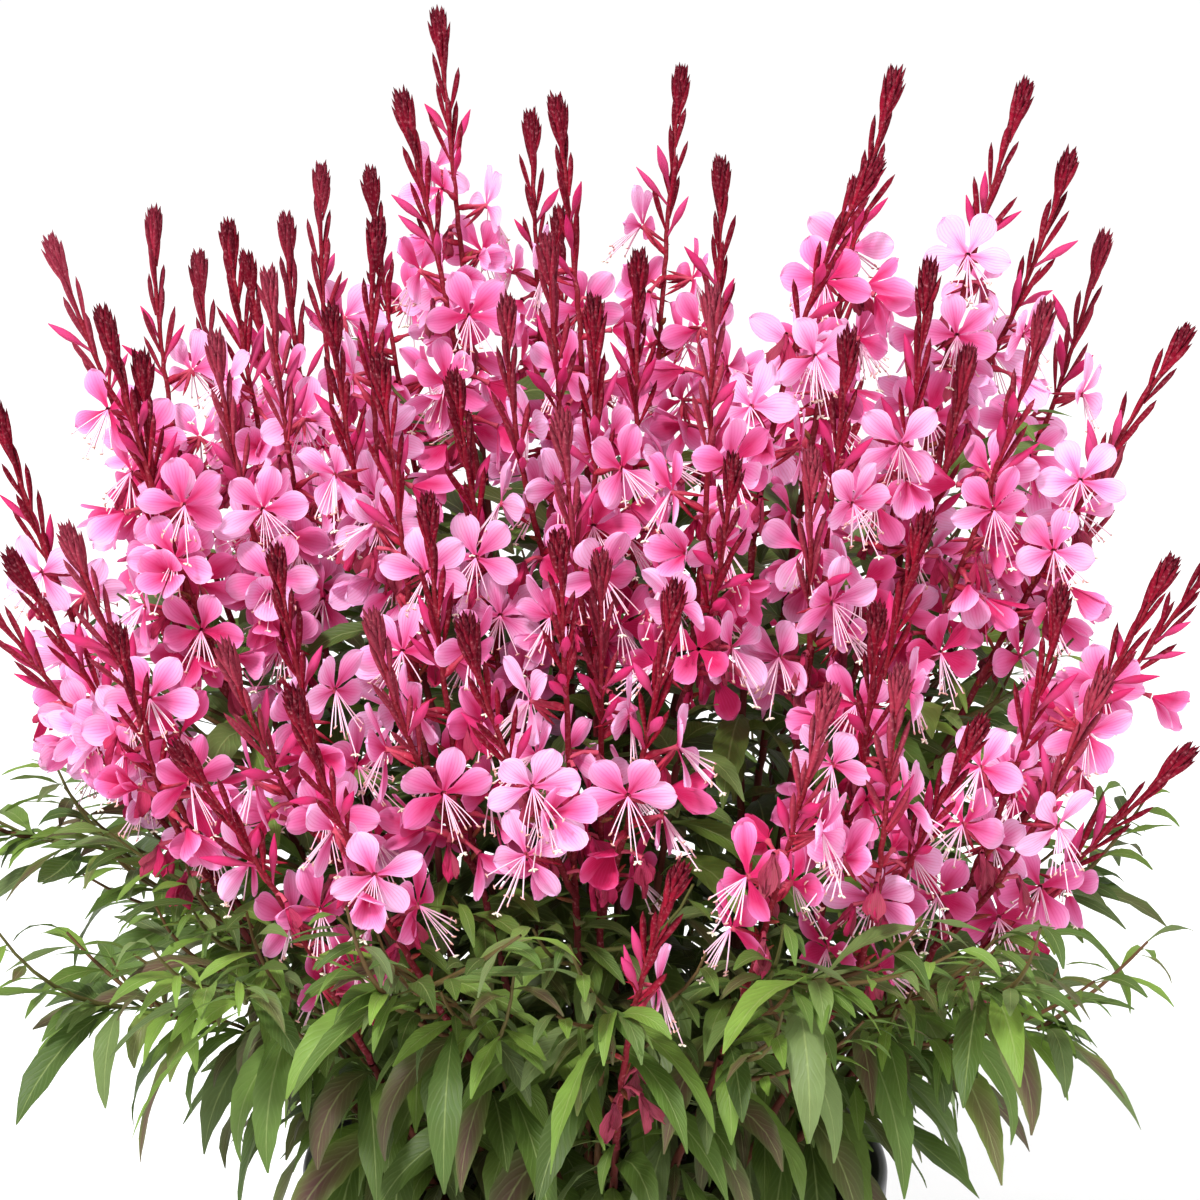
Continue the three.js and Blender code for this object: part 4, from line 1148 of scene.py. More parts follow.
def petal_outline(s, widest):
    """Half width of a petal along it: a narrow claw that widens, then a round tip."""
    rise = clipped(s / widest)
    claw = PETAL_CLAW + (1 - PETAL_CLAW) * rise**2 * (3 - 2 * rise)
    past = clipped((s - widest) / (1 - widest))
    return claw * np.sqrt(1 - past**2)


def petal_tints(tone, s, w, shape):
    """Deeper at the eye and along the middle, paler at the edges and the tip."""
    stripe = PETAL.stripe * np.exp(-((w / PETAL.crease_width) ** 2)) * (1 - s**2)
    depth = tone + PETAL.eye * (1 - s) ** PETAL.eye_power + stripe
    depth = clipped(depth - PETAL.pale_edge * np.abs(w) ** 3 - PETAL.pale_tip * s**3)
    depth = np.broadcast_to(depth, shape)
    return blend(blend(PETAL_LIGHT, PETAL_MID, clipped(depth * 2)), PETAL_DEEP, clipped(depth * 2 - 1))


def add_petals(piece, blooms, rows, columns, rng):
    parts = bloom_arrays(blooms, 3)
    s = np.sin(np.linspace(0, np.pi / 2, rows))[:, None]
    w = sides_of(columns)
    tilt = per_bloom([math.sin(bloom["tilt"]) for bloom in blooms])
    cupped = per_bloom([math.cos(max(bloom["tilt"], CUP_TILT)) for bloom in blooms]) / math.cos(CUP_TILT)
    each = (len(blooms), 4, 1, 1)
    angles = np.array([petal_angles(bloom["spread"]) for bloom in blooms]).reshape(each)
    angles = angles + rng.normal(0, PETAL.turn, each)
    reach = PETAL_REACH * rng.uniform(*PETAL.reach, each)
    width = PETAL_HALF * rng.uniform(*PETAL.width, each)
    half = width * petal_outline(s, PETAL_WIDEST + rng.uniform(*PETAL.widest, each))
    length = PETAL_START + (reach - PETAL_START) * s * (1 - PETAL.notch * w**2 * s**3)
    radius = length * cupped
    curl = rng.uniform(*PETAL.curl, each) * s ** PETAL.curl_power
    cup = rng.uniform(*PETAL.cup, each) * half * w**2
    ripple = PETAL.ripple * np.sin(PETAL.waves * w + rng.uniform(*PHASE, each)) * s**2
    crease = PETAL.crease * np.exp(-((w / PETAL.crease_width) ** 2)) * (1 - s)
    lift = length * tilt + curl + cup + ripple - crease
    cos, sin = np.cos(angles), np.sin(angles)
    x = radius * cos - w * half * sin
    y = radius * sin + w * half * cos
    grids = parts["hub"] + parts["right"] * x[..., None] + parts["up"] * y[..., None]
    grids = grids + parts["facing"] * lift[..., None]
    tone = per_bloom([bloom["tone"] for bloom in blooms]) + rng.normal(*PETAL.tone, each)
    tint = petal_tints(tone, s, w, x.shape)
    place = np.broadcast_to(stacked(w, s, rng.uniform(0, 1, each)), tint.shape)
    shape = (-1, rows, columns, 3)
    piece.add("petal", grids.reshape(shape), tint.reshape(shape), place.reshape(shape))


def add_filaments(piece, blooms, rng):
    """Eight stamens and one longer style, which hang forward out of each bloom."""
    parts = bloom_arrays(blooms, 1)
    count = len(blooms)
    number = FILAMENTS + 1
    each = (count, number)
    spread = np.append(np.linspace(-FILAMENT_SPREAD, FILAMENT_SPREAD, FILAMENTS), 0.0)
    spread = spread + rng.normal(0, STAMEN.turn, each)
    forward = rng.uniform(*STAMEN.forward, each)
    length = rng.uniform(*STAMEN.length, each)
    forward[:, -1] = STYLE.forward
    length[:, -1] = STYLE.length
    ways = parts["facing"] * forward[..., None] - parts["up"] * STAMEN.down
    ways = unit_rows(ways + parts["right"] * spread[..., None])
    bends = DOWN * rng.uniform(*STAMEN.sag, each)[..., None]
    bends = bends + parts["facing"] * rng.uniform(*STAMEN.bow, each)[..., None]
    share = shares(FILAMENT_ROWS)
    t = share[:, None]
    starts = (parts["hub"] + parts["facing"] * STAMEN.foot)[:, :, None]
    paths = starts + ways[:, :, None] * (length[..., None, None] * t) + bends[:, :, None] * t**2
    paths = paths.reshape(count * number, FILAMENT_ROWS, 3)
    refs = np.repeat(parts["right"] + STAMEN.ref * parts["facing"], number, axis=0)
    grids = tubes(paths, np.full(paths.shape[:2], STAMEN.radius), STAMEN_SIDES, refs)
    tint = blend(PETAL_MID, FILAMENT, clipped(share * STAMEN.fade))
    piece.add_tubes("stamen", grids, tint[None, :, None])
    ends = paths[:, -1].reshape(count, number, 3)
    tips = ends[:, :FILAMENTS].reshape(-1, 3)
    turns = unit_rows(rng.normal(0, 1, tips.shape))
    add_grains(piece, tips - turns * ANTHER_SIZE.half, turns, ANTHER_SIZE, ANTHER)
    add_stigmas(piece, bloom_arrays(blooms), ends[:, -1])


def add_grains(piece, bases, ways, size_rule, tint):
    lengths = np.full(len(bases), size_rule.length)
    radii = np.full(len(bases), size_rule.radius)
    grids = spindles(bases, ways, lengths, radii, ways * 0, ANTHER_PROFILE, STAMEN_SIDES)
    piece.add_tubes("stamen", grids, tint)


def add_stigmas(piece, parts, tips):
    """Four short arms at the end of each style."""
    for turn in np.radians(STIGMA_TURNS):
        ways = parts["right"] * math.cos(turn) + parts["facing"] * math.sin(turn) * STIGMA_SIZE.flat
        ways = unit_rows(ways - parts["up"] * STIGMA_SIZE.hang)
        add_grains(piece, tips, ways, STIGMA_SIZE, STIGMA)


def add_sepals(piece, blooms, rng):
    parts = bloom_arrays(blooms)
    count = len(blooms)
    tint = bud_tints(np.array([TUBE_RED]), np.array([BUD_RED]), len(SEPAL.profile))
    for turn in np.radians(SEPAL_TURNS):
        swing = turn + rng.normal(0, SEPAL.turn, count)
        radial = parts["right"] * np.cos(swing)[:, None] + parts["up"] * np.sin(swing)[:, None]
        back = parts["facing"] * rng.uniform(*SEPAL.back, count)[:, None]
        ways = unit_rows(radial * SEPAL.out - back)
        starts = parts["hub"] - parts["facing"] * SEPAL.foot
        lengths = rng.uniform(*SEPAL.length, count)
        radii = np.full(count, SEPAL.radius)
        bends = -parts["facing"] * SEPAL.bend
        grids = spindles(starts, ways, lengths, radii, bends, SEPAL.profile, BUD_SIDES)
        piece.add_tubes("bud", grids, tint)


def add_bloom_tubes(piece, blooms, roots):
    """The narrow red tube that carries each bloom."""
    parts = bloom_arrays(blooms)
    t = shares(len(TUBE_RADII))[:, None]
    middle = (roots + parts["hub"]) / 2 + parts["facing"] * TUBE.bow - DOWN * TUBE.arch
    ends = parts["hub"] + parts["facing"] * TUBE.into
    paths = roots[:, None] * (1 - t) ** 2 + middle[:, None] * 2 * t * (1 - t) + ends[:, None] * t**2
    refs = np.cross(parts["hub"] - roots, OFF_TUBES)[:, None]
    grids = tubes(paths, np.tile(TUBE_RADII, (len(blooms), 1)), TUBE_SIDES, refs)
    piece.add_tubes("bud", grids, blend(BUD_RED, TUBE_RED, t[:, 0])[None, :, None])


def cupped_blooms(stem, stalk, rng):
    """Small blooms still cupped or already closing, in the room that the open ones leave."""
    found = []
    path = stalk["path"]
    wanted = CUPPED_BACK if stem["row"][1] > BACK_FROM else CUPPED
    for down in rng.uniform(*CUPPED_BLOOM.down, wanted):
        root = tuple(path.at(path.total - down))
        past_foot = down > path.total - stalk["start"] - CUPPED_BLOOM.foot
        if past_foot or root[2] < POT_HEIGHT + CUPPED_BLOOM.above:
            continue
        for _ in range(CUPPED_TRIES):
            azimuth = rng.uniform(0, 2 * math.pi)
            rise = rng.uniform(*CUPPED_BLOOM.rise)
            tube = unit((math.cos(azimuth), math.sin(azimuth), rise))
            droop = rng.uniform(*CUPPED_BLOOM.droop)
            facing = unit((math.cos(azimuth), math.sin(azimuth), rise - droop))
            bloom = bloom_frame(root, tube, facing, rng.uniform(*CUPPED_BLOOM.roll))
            bloom |= {"spread": WIDE_SPREAD, "tilt": rng.uniform(*CUPPED_BLOOM.tilt)}
            balls = [(along(bloom["hub"], facing, out), CUP_BALL) for out in CUP_BALLS]
            if crowding(balls, NOBODY) == 0 and clear_of_pot(balls):
                claim(balls, f"spray{stem['i']}/cupped/")
                found.append(bloom)
                break
    return found


def build_spray(stem):
    rng = np.random.default_rng(SPRAY_SEED + stem["i"])
    piece = Piece()
    for stalk in stem["stalks"]:
        add_stalk(piece, stalk, rng)
    cupped = [bloom for stalk in stem["stalks"] for bloom in cupped_blooms(stem, stalk, rng)]
    blooms = stem["blooms"]
    tone = rng.uniform(*SPRAY_TONE)
    for bloom in blooms:
        bloom["tone"] = tone + OLDER_DEEPER * bloom["order"] + rng.uniform(*BLOOM_TONE)
    if blooms:
        roots = np.array([bloom["stalk"]["path"].nearest(bloom["root"]) for bloom in blooms])
        add_petals(piece, blooms, PETAL_ROWS, PETAL_COLUMNS, rng)
        add_filaments(piece, blooms, rng)
        add_sepals(piece, blooms, rng)
        add_bloom_tubes(piece, blooms, roots)
    cupped_tone = CUPPED_BLOOM.back_tone if stem["row"][1] > BACK_FROM else CUPPED_BLOOM.tone
    for bloom in cupped:
        bloom["tone"] = tone + rng.uniform(*cupped_tone)
    if cupped:
        add_petals(piece, cupped, CUPPED_ROWS, CUPPED_COLUMNS, rng)
        add_bloom_tubes(piece, cupped, np.array([bloom["root"] for bloom in cupped]))
    node = f"spray_{stem['i'] + 1:02d}"
    piece.build(f"{node}_flowers", node)


# Leaves. Pairs are the ends of a random range, in millimetres or degrees, and swings are in radians.
LEAF_ROWS = 17
LEAF_COLUMNS = 7
SMALL_ROWS = 8
SMALL_COLUMNS = 5
SHEET = Rule(
    foot=0.4, widens=2.4, uneven=0.05, bumps=44, least=0.3, wave=0.16, waves=(9, 15), fold=0.24,
)
LOW_RANGE = 150
GREY_CHANCE = 0.2
GREY_SHARE = (0.3, 0.8)
FLUSH_CHANCE = 0.48
FLUSH = Rule(share=(0.5, 1.1), along=1.7, rib=0.6)
# Painted shade on leaves near the middle of the plant: the point along the leaf where it is read, and
# how it falls off outward
INNER_SHADE = Rule(at=0.7, middle=1.15, reach=130, most=0.8)
YOUNG_ASIDE = 218
YOUNG_FRONT = 190
YOUNG_BACK = 203
SMALL_TRIES = 10
SMALL_FOOT = 8
SMALL_PAST = 6
SMALL_SHIFT = (-2, 2)
ON_SHOOT = Rule(swing=1.4, spacing=4.2, length=(24, 52))
ON_STEM = Rule(swing=2.6, spacing=3.0, length=(18, 46))
INNER_FROM = -70
INNER_LONGER = 1.5
HANGING_BELOW = 110
LOW_LEAF = Rule(slim=(0.17, 0.27), start=(-10, 60), end=(-110, -30), roll=(-40, 40))
HIGH_LEAF = Rule(**vars(LOW_LEAF) | {"end": (-60, 20)})
TWIG_TRIES = 6
TWIG_ROWS = 7
TWIG_SIDES = 5
TWIG = Rule(
    foot=40, spacing=13, shift=(-4, 4), out=88, low=72, length=(30, 62), width=0.1,
    swing=(-1.1, 1.1), start=(-5, 35), end=(35, 75), radius=0.95, taper=0.5, green=(0.2, 0.9),
)
TWIG_LEAF = Rule(
    step=6.5, first=0.2, length=(18, 34), longest=1.15, shorter=0.5, aside=(0.3, 1.1),
    slim=(0.17, 0.25), start=(0, 50), end=(-70, 0), roll=(-35, 35),
)
TUFT_LEAVES = 5
TUFT_WAY = 4
TUFT_LEAF = Rule(
    step=1.5, length=(16, 30), aside=(0.1, 0.8), slim=(0.2, 0.27), start=(0, 50),
    end=(-70, -20), roll=(-30, 30),
)
STEM_STEP = 5.0
STEM_RADIUS = 1.7
STEM_TAPER = 0.55
SHOOT_TAPER = 1.4
STEM_WOBBLE = 0.2
STEM_GREENER = (0, 0.6)
CROWN_SIDES = 24
CROWN_LOBES = 5
LOBE_DEPTH = 0.10
CROWN_ROUGH = 0.4
CLUMP_SEED = 700
JOIN_REACH = 4

# Outline of a crown: height above the soil, and share of its radius
CROWN_OUTLINE = ((-6, 0.95), (-2, 1.0), (1, 0.97), (3, 0.88), (4.5, 0.7), (5.5, 0.4), (6.0, 0.05))


def leaf_sheets(found, shifts, rows, columns, rng):
    """Arched blades with a folded midrib and waved edges, each leaf a sheet of its own."""
    t = shares(rows)
    w = sides_of(columns)[:, None]
    grids = []
    for leaf, shift in zip(found, shifts):
        spine = np.array([leaf_point(leaf, k) for k in t]) + shift * (1 - t)[:, None]
        way = unit_rows(np.gradient(spine, axis=0))
        level = np.array([-math.sin(leaf["azimuth"]), math.cos(leaf["azimuth"]), 0])
        side = level * math.cos(leaf["roll"]) + np.cross(way, level) * math.sin(leaf["roll"])
        above = np.cross(way, side)
        half = np.array([leaf_half_width(leaf, k) for k in t])
        half = half * np.minimum(1, SHEET.foot + SHEET.widens * t)
        uneven = 1 + SHEET.uneven * np.sin(SHEET.bumps * t + rng.uniform(*PHASE))
        half = np.maximum(half * uneven, SHEET.least)[:, None, None]
        wave = np.sin(rng.uniform(*SHEET.waves) * t + rng.uniform(*PHASE))[:, None, None] * w
        fold = (SHEET.fold + SHEET.wave * wave) * np.abs(w) * half
        grids.append(spine[:, None] + side[:, None] * (w * half) + above[:, None] * fold)
    return np.array(grids)


def leaf_tints(found, rows, columns, rng):
    """Each leaf green, from dark to bright, some flushed maroon toward the tip, and painted shade on
    leaves near the middle of the plant.
    """
    each = (len(found), 1, 1)
    t = shares(rows)[:, None]
    w = sides_of(columns)
    low = np.array([(POT_HEIGHT + LOW_RANGE - leaf["root"][2]) / LOW_RANGE for leaf in found])
    bright = rng.uniform(0, 1, each) * 2
    tint = blend(blend(LEAF_DARK, LEAF_MID, clipped(bright)), LEAF_BRIGHT, clipped(bright - 1))
    greyed = rng.uniform(0, 1, each) < GREY_CHANCE
    tint = blend(tint, LEAF_GREY, greyed * rng.uniform(*GREY_SHARE, each))
    flushed = rng.uniform(0, 1, each) < FLUSH_CHANCE * clipped(low).reshape(each)
    flush = flushed * rng.uniform(*FLUSH.share, each)
    tint = blend(tint, LEAF_MAROON, flush * clipped(t * FLUSH.along) * (1 - FLUSH.rib * w**2))
    # Painted shade: leaves whose outer part lies near the middle of the plant are darkened toward
    # LEAF_SHADE
    ends = np.array([leaf_point(leaf, INNER_SHADE.at) for leaf in found])
    inside = INNER_SHADE.middle - np.hypot(ends[:, 0], ends[:, 1]) / INNER_SHADE.reach
    tint = blend(tint, LEAF_SHADE, np.clip(inside, 0, INNER_SHADE.most).reshape(each))
    return tint, stacked(w, t, rng.uniform(0, 1, each))


def add_leaves(piece, found, shifts, rows, columns, rng):
    grids = leaf_sheets(found, shifts, rows, columns, rng)
    tint, place = leaf_tints(found, rows, columns, rng)
    piece.add("leaf", grids, tint, place)


def has_room(balls, carrier):
    """Whether a young leaf or twig meets nothing and stays near the plant's own outline."""
    for p, _ in balls:
        if abs(p[0]) > YOUNG_ASIDE or not -YOUNG_FRONT < p[1] < YOUNG_BACK:
            return False
    return crowding(balls, carrier) == 0 and clear_of_pot(balls)


def young_leaf(root, azimuth, length, rule, rng):
    """A small leaf, told the way a large one is, with its form drawn from the ranges of a rule."""
    return {
        "root": root,
        "azimuth": azimuth,
        "length": length,
        "width": length * rng.uniform(*rule.slim),
        "start_slope": rad(rng.uniform(*rule.start)),
        "end_slope": rad(rng.uniform(*rule.end)),
        "roll": rad(rng.uniform(*rule.roll)),
    }


def keep_leaf(leaf, carrier, found):
    """Keeps a young leaf where there is room for it, and says whether it did."""
    balls = leaf_balls(leaf)
    if not has_room(balls, carrier):
        return False
    claim(balls[1:], "leaf/")
    found.append(leaf)
    return True


def small_leaves(stem, path, rng):
    """Small young leaves all the way up a stem, between the large ones."""
    found = []
    leafy = "row" not in stem
    rule = ON_SHOOT if leafy else ON_STEM
    for mark in np.arange(SMALL_FOOT, stem["junction"] + SMALL_PAST, rule.spacing):
        root = tuple(path.at(mark + rng.uniform(*SMALL_SHIFT)))
        form = LOW_LEAF if root[2] < POT_HEIGHT + HANGING_BELOW else HIGH_LEAF
        longer = 1 if leafy or root[1] <= INNER_FROM else INNER_LONGER
        for _ in range(SMALL_TRIES):
            length = rng.uniform(*rule.length) * longer
            azimuth = math.atan2(root[1], root[0]) + rng.uniform(-rule.swing, rule.swing)
            if keep_leaf(young_leaf(root, azimuth, length, form, rng), f"clump{stem['crown']}/", found):
                break
    return found


def side_twig(root, length, rng):
    """A curve that leaves a stem outward and turns up, told the way a leaf's spine is."""
    return {
        "root": root,
        "azimuth": math.atan2(root[1], root[0]) + rng.uniform(*TWIG.swing),
        "length": length,
        "width": TWIG.width,
        "start_slope": rad(rng.uniform(*TWIG.start)),
        "end_slope": rad(rng.uniform(*TWIG.end)),
    }


def twig_leaves(twig, carrier, found, rng):
    """Narrow leaves along a twig, left and right of it by turns, and one at its end."""
    count = int(twig["length"] / TWIG_LEAF.step)
    for n in range(count + 1):
        t = TWIG_LEAF.first + (1 - TWIG_LEAF.first) * n / count
        length = rng.uniform(*TWIG_LEAF.length) * (TWIG_LEAF.longest - TWIG_LEAF.shorter * t)
        aside = rng.uniform(*TWIG_LEAF.aside) * (-1) ** n * (n < count)
        leaf = young_leaf(leaf_point(twig, t), twig["azimuth"] + aside, length, TWIG_LEAF, rng)
        keep_leaf(leaf, carrier, found)


def add_twigs(piece, stem, path, rng):
    """Thin side shoots on the outer stems where there is room. Their leaves come back."""
    carrier = f"clump{stem['crown']}/"
    found = []
    share = shares(TWIG_ROWS)
    for mark in np.arange(TWIG.foot, stem["junction"], TWIG.spacing):
        root = tuple(path.at(mark + rng.uniform(*TWIG.shift)))
        if math.hypot(root[0], root[1]) < TWIG.out or root[2] < POT_HEIGHT + TWIG.low:
            continue
        for _ in range(TWIG_TRIES):
            twig = side_twig(root, rng.uniform(*TWIG.length), rng)
            balls = leaf_balls(twig)[1:]
            if has_room(balls, carrier):
                claim(balls, carrier + "twig/")
                run = np.array([leaf_point(twig, t) for t in share])
                radii = TWIG.radius - TWIG.taper * share
                grids = tubes(run[None], radii[None], TWIG_SIDES, OFF_BUDS)
                piece.add_tubes("stem", grids, blend(STEM_MAROON, STEM_GREEN, rng.uniform(*TWIG.green)))
                twig_leaves(twig, carrier, found, rng)
                break
    return found


def end_tuft(stem, path, rng):
    """The youngest leaves, close together at the end of a leafy shoot."""
    found = []
    before, end = path.at([stem["junction"] - TUFT_WAY, stem["junction"]])
    ahead = math.atan2(end[1] - before[1], end[0] - before[0])
    for n in range(TUFT_LEAVES):
        length = rng.uniform(*TUFT_LEAF.length)
        root = tuple(path.at(stem["junction"] - TUFT_LEAF.step * n))
        azimuth = ahead + rng.uniform(*TUFT_LEAF.aside) * (-1) ** n
        found.append(young_leaf(root, azimuth, length, TUFT_LEAF, rng))
    return found


def add_stem(piece, stem, path, rng):
    marks = np.arange(-1, stem["junction"] + 1, STEM_STEP)
    share = shares(len(marks))
    leafy = "row" not in stem
    taper = SHOOT_TAPER if leafy else STEM_TAPER
    grids = path.tube(marks, STEM_WOBBLE, STEM_RADIUS - taper * share, rng)
    foot = blend(STEM_MAROON, STEM_GREEN, rng.uniform(*STEM_GREENER) * (1 - share))
    tint = blend(foot, STEM_GREEN if leafy else STALK_RED, share**2)
    piece.add_tubes("stem", grids, tint[None, :, None])


def add_crown(piece, centre, rng):
    rise, share = np.array(CROWN_OUTLINE).T[:, :, None]
    turn = np.linspace(0, 2 * np.pi, CROWN_SIDES, endpoint=False)
    radii = CROWN_RADIUS * share * (1 + LOBE_DEPTH * np.sin(CROWN_LOBES * turn + rng.uniform(*PHASE)))
    x = centre[0] + radii * np.cos(turn)
    y = centre[1] + radii * np.sin(turn)
    z = SOIL_TOP + rise + rng.uniform(-CROWN_ROUGH, CROWN_ROUGH, x.shape)
    piece.add_tubes("stem", np.stack([x, y, z], axis=-1)[None], WOOD_BROWN)


def shift_to_stem(leaf, spots):
    """How far a leaf's root lies from the curve that its stem follows, if it lies close to one."""
    gaps = spots - np.array(leaf["root"])
    near = gaps[np.argmin(np.linalg.norm(gaps, axis=1))]
    return near if np.linalg.norm(near) < JOIN_REACH else near * 0


def build_clump(k):
    rng = np.random.default_rng(CLUMP_SEED + k)
    piece = Piece()
    add_crown(piece, crowns[k], rng)
    young = []
    spots = []
    for stem in stems + shoots:
        if stem["crown"] != k:
            continue
        path = Path(stem["points"])
        add_stem(piece, stem, path, rng)
        young += add_twigs(piece, stem, path, rng)
        young += small_leaves(stem, path, rng)
        if "row" not in stem:
            young += end_tuft(stem, path, rng)
        spots.append(path.points)
    spots = np.concatenate(spots)
    shifts = [shift_to_stem(leaf, spots) for leaf in leaves[k]]
    add_leaves(piece, leaves[k], shifts, LEAF_ROWS, LEAF_COLUMNS, rng)
    add_leaves(piece, young, np.zeros((len(young), 3)), SMALL_ROWS, SMALL_COLUMNS, rng)
    piece.build(f"clump_{k + 1}_leaves", f"leafy_clump_{k + 1}")


# Soil
SOIL_SEED = 41
SOIL_TURNS = 160
SOIL_ROWS = 46
SOIL_EDGE = 3
SOIL_INSET = 0.2
SOIL_MIDDLE = (0.5, 0.4)
SOIL_SKIN = 0.4
SOIL_SHADE = (0, 0.5)
CRUMBS = 700
CRUMB = Rule(
    size=(0.8, 2.6), length=(1.2, 2.4), radius=0.6, sunk=0.2, rough=0.12, spread=(0, 0.93),
    brown=(0, 1.3), sides=6, profile=(0.4, 0.9, 1, 0.7, 0.2),
)

# The soil's top: one wide swell, and lumps at two sizes. Each has its height, then the numbers of its
# pattern across and back.
SOIL_SWELL = (0.9, 0.11, 1.3, 0.13, -0.4)
SOIL_LUMPS = ((0.8, 0.47, 2, 0.23, 0.43, 1.7, 0.31), (0.35, 1.9, 3, 0.9, 2.1, 2, 1.1))


def soil_radius(z):
    share = (z - FLOOR) / (POT_HEIGHT - LIP_DEPTH)
    return POT_BASE_RADIUS - WALL - SOIL_CLEAR + (POT_WALL_RADIUS - POT_BASE_RADIUS) * share


def soil_height(x, y):
    rise, a, b, c, d = SOIL_SWELL
    height = SOIL_TOP + SOIL_SKIN + rise * np.sin(x * a + b) * np.cos(y * c + d)
    for rise, a, b, c, d, e, f in SOIL_LUMPS:
        height = height + rise * np.sin(x * a + b * np.sin(y * c)) * np.sin(y * d + e * np.sin(x * f))
    return height


def on_soil(r, turn):
    x, y = r * np.cos(turn), r * np.sin(turn)
    return np.stack([x, y, soil_height(x, y)], axis=-1)


def build_soil():
    rng = np.random.default_rng(SOIL_SEED)
    piece = Piece()
    turn = np.linspace(0, 2 * np.pi, SOIL_TURNS, endpoint=False)
    low = FLOOR + SOIL_CLEAR
    high = SOIL_TOP - SOIL_EDGE
    rows = []
    for r, z in ((SOIL_MIDDLE[0], low), (soil_radius(low), low), (soil_radius(high), high)):
        rows.append(np.stack([r * np.cos(turn), r * np.sin(turn), np.full(SOIL_TURNS, z)], axis=-1))
    radii = np.linspace(soil_radius(SOIL_TOP) - SOIL_INSET, SOIL_MIDDLE[1], SOIL_ROWS)
    rows += [on_soil(r, turn) for r in radii]
    grid = np.array(rows)
    tint = blend(SOIL_DARK, SOIL_BROWN, rng.uniform(*SOIL_SHADE, grid.shape[:2]))
    piece.add_tubes("soil", grid[None], tint[None])
    add_crumbs(piece, rng)
    piece.build("soil_crumbs", "soil")


def add_crumbs(piece, rng):
    out = soil_radius(SOIL_TOP) * np.sqrt(rng.uniform(*CRUMB.spread, CRUMBS))
    bases = on_soil(out, rng.uniform(*AROUND, CRUMBS))
    sizes = rng.uniform(*CRUMB.size, CRUMBS)
    bases = bases + DOWN * (sizes * CRUMB.sunk)[:, None]
    ways = unit_rows(rng.normal(0, 1, (CRUMBS, 3)) * FLATTER)
    lengths = sizes * rng.uniform(*CRUMB.length, CRUMBS)
    radii = sizes * CRUMB.radius
    grids = spindles(bases, ways, lengths, radii, ways * 0, CRUMB.profile, CRUMB.sides)
    grids = grids + rng.normal(0, CRUMB.rough, grids.shape)
    tint = blend(SOIL_DARK, SOIL_BROWN, rng.uniform(*CRUMB.brown, CRUMBS))
    piece.add_tubes("soil", grids, tint[:, None, None])


# Pot
POT_TURNS = 144
DRAIN_SIDES = 32
DRILL_LENGTH = FLOOR * 4
WELD_DISTANCE = 0.01


def pot_outline():
    """Radii and heights of the pot's section, from the middle of its base to that of its floor."""
    shoulder = POT_HEIGHT - LIP_DEPTH
    top_inner = soil_radius(shoulder) + SOIL_CLEAR
    low_inner = soil_radius(FLOOR) + SOIL_CLEAR
    return [
        (0, 0),
        (POT_BASE_RADIUS - 3.5, 0),
        (POT_BASE_RADIUS - 2, 0.1),
        (POT_BASE_RADIUS - 0.6, 0.9),
        (POT_BASE_RADIUS, 2.5),
        (POT_WALL_RADIUS - 0.3, shoulder - 2),
        (POT_WALL_RADIUS, shoulder - 0.6),
        (POT_WALL_RADIUS + 0.6, shoulder),
        (RIM_RADIUS - 1.6, shoulder),
        (RIM_RADIUS - 0.9, shoulder + 0.5),
        (RIM_RADIUS - 0.5, shoulder + 2),
        (RIM_RADIUS, POT_HEIGHT - 1.8),
        (RIM_RADIUS - 0.3, POT_HEIGHT - 0.7),
        (RIM_RADIUS - 1.0, POT_HEIGHT - 0.1),
        (RIM_RADIUS - 1.9, POT_HEIGHT),
        (RIM_RADIUS - 2.8, POT_HEIGHT - 0.3),
        (RIM_RADIUS - 3.4, POT_HEIGHT - 1.3),
        (top_inner + 0.4, shoulder + 1.5),
        (top_inner, shoulder - 1),
        (low_inner, FLOOR + 1),
        (low_inner - 1, FLOOR),
        (0, FLOOR),
    ]


def weld(obj):
    """Join points that lie on each other, here the middle of the floor above and below."""
    form = bmesh.new()
    form.from_mesh(obj.data)
    bmesh.ops.remove_doubles(form, verts=form.verts, dist=WELD_DISTANCE * MM)
    form.to_mesh(obj.data)
    form.free()


def new_object(name, data):
    obj = bpy.data.objects.new(name, data)
    bpy.context.scene.collection.objects.link(obj)
    return obj


def drill_bits():
    """One round bar through the floor for each drain hole."""
    form = bmesh.new()
    radius = DRAIN_RADIUS * MM
    for k in range(DRAIN_HOLES):
        a = 2 * math.pi * k / DRAIN_HOLES
        place = Matrix.Translation(Vector((math.cos(a), math.sin(a), 0)) * DRAIN_RING * MM)
        bar = {"radius1": radius, "radius2": radius, "depth": DRILL_LENGTH * MM, "matrix": place}
        bmesh.ops.create_cone(form, cap_ends=True, segments=DRAIN_SIDES, **bar)
    mesh = bpy.data.meshes.new("drain_holes")
    form.to_mesh(mesh)
    form.free()
    return new_object("drain_holes", mesh)


def drill(pot):
    """Cut the drain holes through the floor."""
    bits = drill_bits()
    cut = pot.modifiers.new("drain_holes", "BOOLEAN")
    cut.operation = "DIFFERENCE"
    cut.object = bits
    drilled = bpy.data.meshes.new_from_object(pot.evaluated_get(bpy.context.evaluated_depsgraph_get()))
    pot.modifiers.clear()
    pot.data = drilled
    bpy.data.meshes.remove(bits.data)


def build_pot():
    turn = np.linspace(0, 2 * np.pi, POT_TURNS, endpoint=False)
    grid = np.array([[(r * math.cos(a), r * math.sin(a), z) for a in turn] for r, z in pot_outline()])
    piece = Piece()
    piece.add_tubes("plastic", grid[None], PLASTIC_TINT)
    pot = piece.build("pot_moulded", "pot")
    weld(pot)
    drill(pot)


